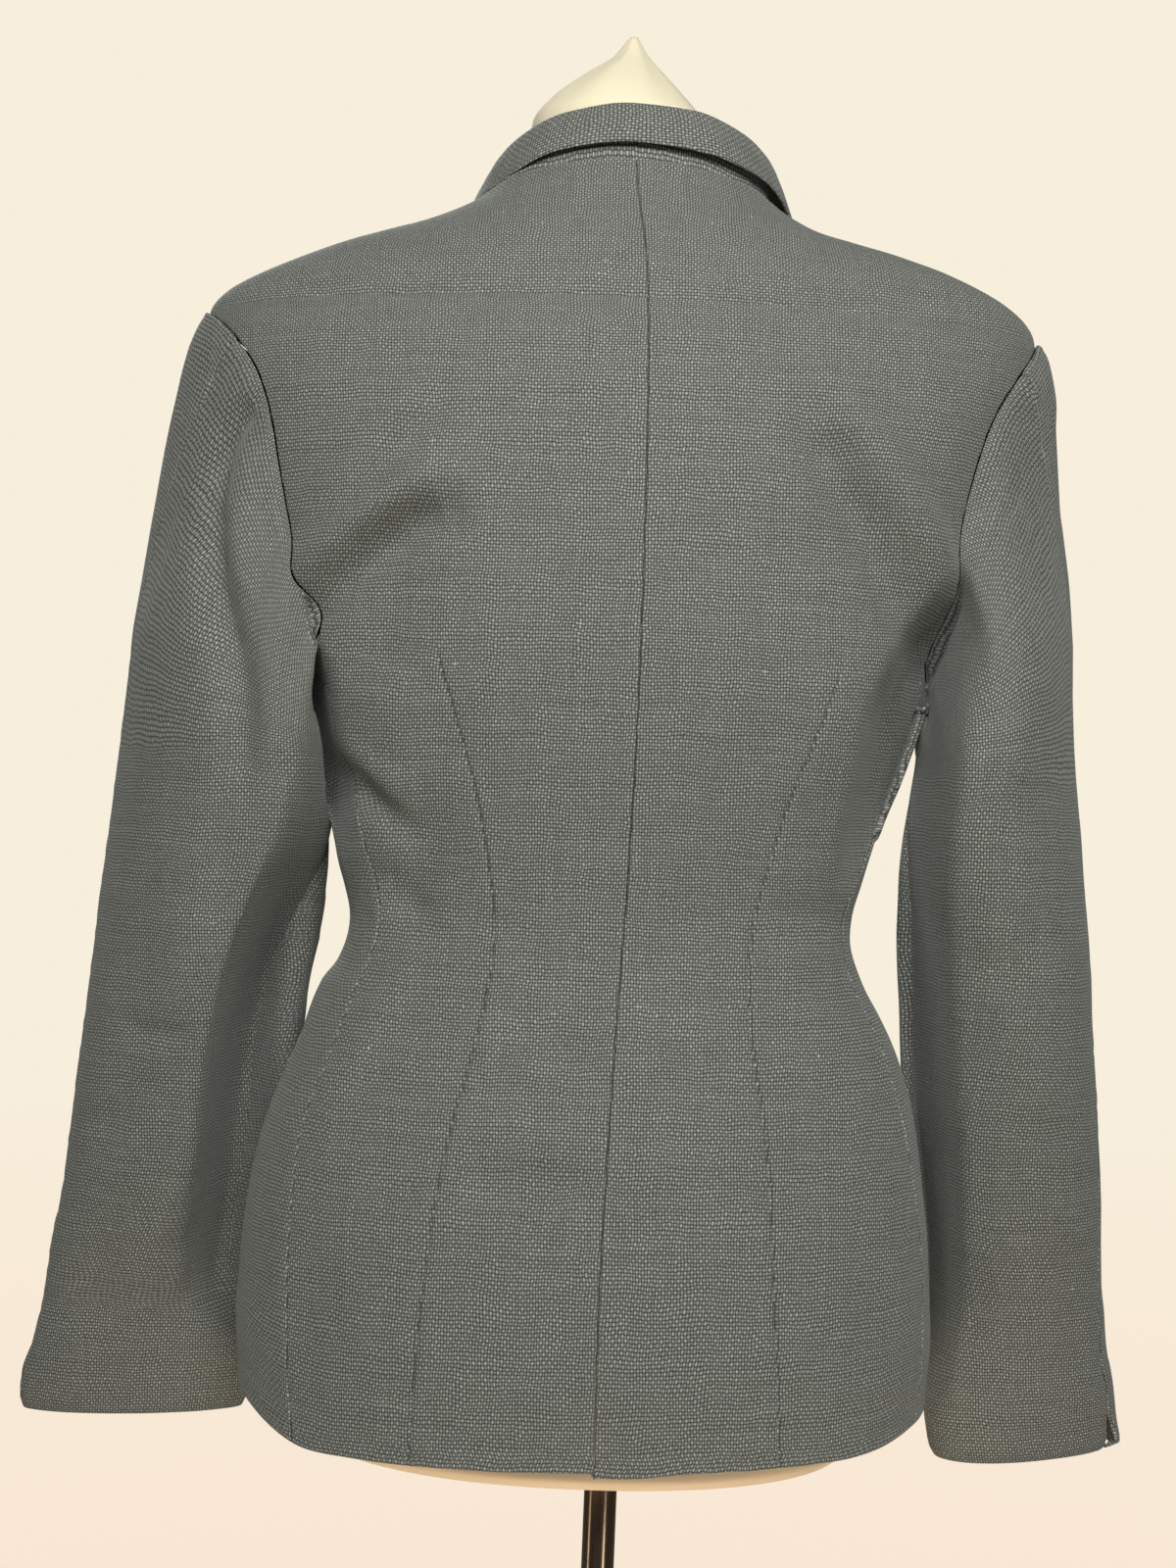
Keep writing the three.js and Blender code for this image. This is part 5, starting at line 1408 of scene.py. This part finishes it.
def suiting():
    finish = Finish("suiting")
    grain = finish.node("Attribute", {"attribute_name": "grain"}, None, 1)
    edge = finish.node("Attribute", {"attribute_name": "edge"}, None, 2)
    wander = finish.noise(grain, 0.04, 2.0)
    drift = finish.noise(grain, 0.30, 2.0)
    elsewhere = finish.node("VectorMath", {"operation": "ADD"}, {0: grain, 1: (31.0, 17.0, 5.0)})
    slip = finish.noise(elsewhere, 0.32, 2.0)
    split = finish.tree.nodes.new("ShaderNodeSeparateXYZ")
    feed(finish.tree, split.inputs[0], grain)
    across = Wire(finish.tree, split.outputs[0])
    along = Wire(finish.tree, split.outputs[1])
    u = across / WARP_PITCH + wander * 3.0 + drift * 0.6
    v = along / WEFT_PITCH + wander * 2.4 + slip * 0.55
    wave_u = (u * math.pi).sine()
    wave_v = (v * math.pi).sine()
    size_u, size_v = abs(wave_u), abs(wave_v)
    warp = size_u * size_v ** 0.5
    weft = size_v * size_u ** 0.5
    warp_on_top = (wave_u * wave_v) > 0.0
    height = warp * warp_on_top + 0.80 * weft * (1.0 - warp_on_top)
    cell = finish.node("CombineXYZ", None, {0: u.floor(), 1: v.floor()})
    tone = finish.node("TexWhiteNoise", {"noise_dimensions": "3D"}, {"Vector": cell}, 0)
    warp_place = finish.node("CombineXYZ", None, {0: u.floor() * 0.9, 1: v * 0.04})
    weft_place = finish.node("CombineXYZ", None, {0: u * 0.04, 1: v.floor() * 0.9})
    warp_tone = finish.noise(warp_place, 1.0, 1.0)
    weft_tone = finish.noise(weft_place, 1.0, 1.0)
    thread_tone = warp_tone * warp_on_top + weft_tone * (1.0 - warp_on_top)
    cloudy = finish.noise(grain, 0.012, 3.0)
    # painted shade: the colour darkens with thread height towards the pits; the weft on top also shows a
    # little darker
    pit_shade_and_weft_tone = height ** 1.15 * (0.76 + 0.24 * warp_on_top)
    row_place = finish.node("CombineXYZ", None, {0: u * 0.022, 1: v.floor() * 0.77, 2: 5.0})
    row_tone = finish.noise(row_place, 1.0, 1.0)
    light = pit_shade_and_weft_tone * (0.82 + 0.18 * tone) * (0.72 + 0.56 * thread_tone) * (0.80 + 0.40 * row_tone)
    light = light * (0.95 + 0.10 * cloudy)
    fleck = (tone > 0.99975) * (height > 0.35)
    worn = (1.0 - (edge - 1.0) / 2.5).clamped() * finish.noise(grain, 0.5, 2.0)
    colour = finish.blend((light + 0.04 * worn).clamped(), CLOTH_PIT_SHADE, CLOTH_LIGHT)
    colour = finish.blend(fleck * 0.5, colour, (0.60, 0.60, 0.54))
    rough = 0.86 - 0.10 * height
    normal = finish.bump(height, 0.80, 0.00030)
    finish.set(Base_Color=colour, Roughness=rough, Normal=normal)
    finish.set(Sheen_Weight=0.20, Sheen_Roughness=0.45, Sheen_Tint=(0.84, 0.88, 0.84))
    finish.set(Specular_IOR_Level=0.32)
    return finish.material


suiting_material = suiting()
for piece in cloth_pieces.values():
    piece.data.materials.append(suiting_material)
print("suiting on", len(cloth_pieces), "pieces")

# %% Other finishes
def button_finish():
    finish = Finish("button_horn")
    place = finish.node("TexCoord", None, None, 3)
    cloud = finish.noise(place, 220.0, 4.0)
    finish.set(Base_Color=finish.blend(cloud, (0.006, 0.006, 0.005), (0.035, 0.033, 0.028)))
    finish.set(Roughness=0.22 + 0.2 * cloud, Specular_IOR_Level=0.5)
    finish.set(Normal=finish.bump(finish.noise(place, 900.0, 2.0), 0.2, 0.0001))
    return finish.material


def thread_finish():
    finish = Finish("sewing_thread")
    place = finish.node("TexCoord", None, None, 3)
    twist = finish.node("TexWave", {"bands_direction": "DIAGONAL"}, {"Vector": place, "Scale": 900.0})
    finish.set(Base_Color=finish.blend(twist, (0.012, 0.012, 0.011), (0.04, 0.04, 0.036)), Roughness=0.7)
    finish.set(Normal=finish.bump(twist, 0.5, 0.0002))
    return finish.material


def jersey_finish():
    finish = Finish("form_jersey")
    place = finish.node("TexCoord", None, None, 3)
    knit_place = finish.node("VectorMath", {"operation": "MULTIPLY"}, {0: place, 1: (1.0, 1.0, 0.7)})
    knit = finish.noise(knit_place, 1400.0, 1.0)
    cloud = finish.noise(place, 18.0, 3.0)
    colour = finish.blend(cloud, (0.72, 0.63, 0.40), (0.79, 0.71, 0.49))
    colour = finish.blend(knit * 0.25, colour, (0.95, 0.92, 0.84))
    split = finish.tree.nodes.new("ShaderNodeSeparateXYZ")
    feed(finish.tree, split.inputs[0], place)
    # painted light: the jersey's foot is tinted peach for warm light thrown up from the floor
    painted_floor_light = 1.0 - ((Wire(finish.tree, split.outputs[2]) - 0.700) / 0.010).clamped()
    colour = finish.blend(painted_floor_light * 0.85, colour, (0.97, 0.76, 0.54))
    finish.set(Base_Color=colour, Roughness=0.82 + 0.1 * knit)
    finish.set(Normal=finish.bump(knit, 0.25, 0.0002))
    finish.set(Sheen_Weight=0.15, Sheen_Roughness=0.5)
    return finish.material


def chrome_finish():
    finish = Finish("pole_chrome")
    place = finish.node("TexCoord", None, None, 3)
    stretched = finish.node("VectorMath", {"operation": "MULTIPLY"}, {0: place, 1: (1.0, 1.0, 0.02)})
    drawn = finish.noise(stretched, 700.0, 3.0)
    # painted reflection: the brown tint stands in for the dark, warm surroundings that the chrome
    # reflects
    finish.set(Base_Color=finish.blend(drawn, (0.30, 0.20, 0.13), (0.46, 0.35, 0.25)))
    finish.set(Metallic=1.0, Roughness=0.17 + 0.06 * drawn)
    finish.set(Normal=finish.bump(drawn, 0.05, 0.0001))
    return finish.material


def base_finish():
    finish = Finish("base_enamel")
    place = finish.node("TexCoord", None, None, 3)
    speck = finish.noise(place, 500.0, 3.0)
    scuff = finish.noise(place, 14.0, 5.0, 0.7)
    finish.set(Base_Color=finish.blend(scuff, (0.50, 0.47, 0.42), (0.60, 0.57, 0.52)))
    finish.set(Metallic=0.35, Roughness=0.34 + 0.2 * scuff)
    finish.set(Normal=finish.bump(speck, 0.12, 0.0002))
    return finish.material


horn, sewing = button_finish(), thread_finish()
for piece, thread in buttons:
    piece.data.materials.append(horn)
    thread.data.materials.append(sewing)
form.data.materials.append(jersey_finish())
pole.data.materials.append(chrome_finish())
base.data.materials.append(base_finish())
print("finishes done")

# %% [markdown]
# ## Hand over to the frame
#
# Each fine piece takes the place of its plain solid and rides on the one body.
# %% Riding
for node, piece in cloth_pieces.items():
    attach(piece, "root")
    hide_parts(node)

for i, (piece, thread) in enumerate(buttons):
    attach(piece, "root")
    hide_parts(f"button_{i + 1}")
for piece, node, slot in ((form, "form_torso", "form_cover"), (pole, "stand_pole", "chrome"),
                          (base, "stand_base", "base_metal")):
    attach(piece, "root")
    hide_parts(node)
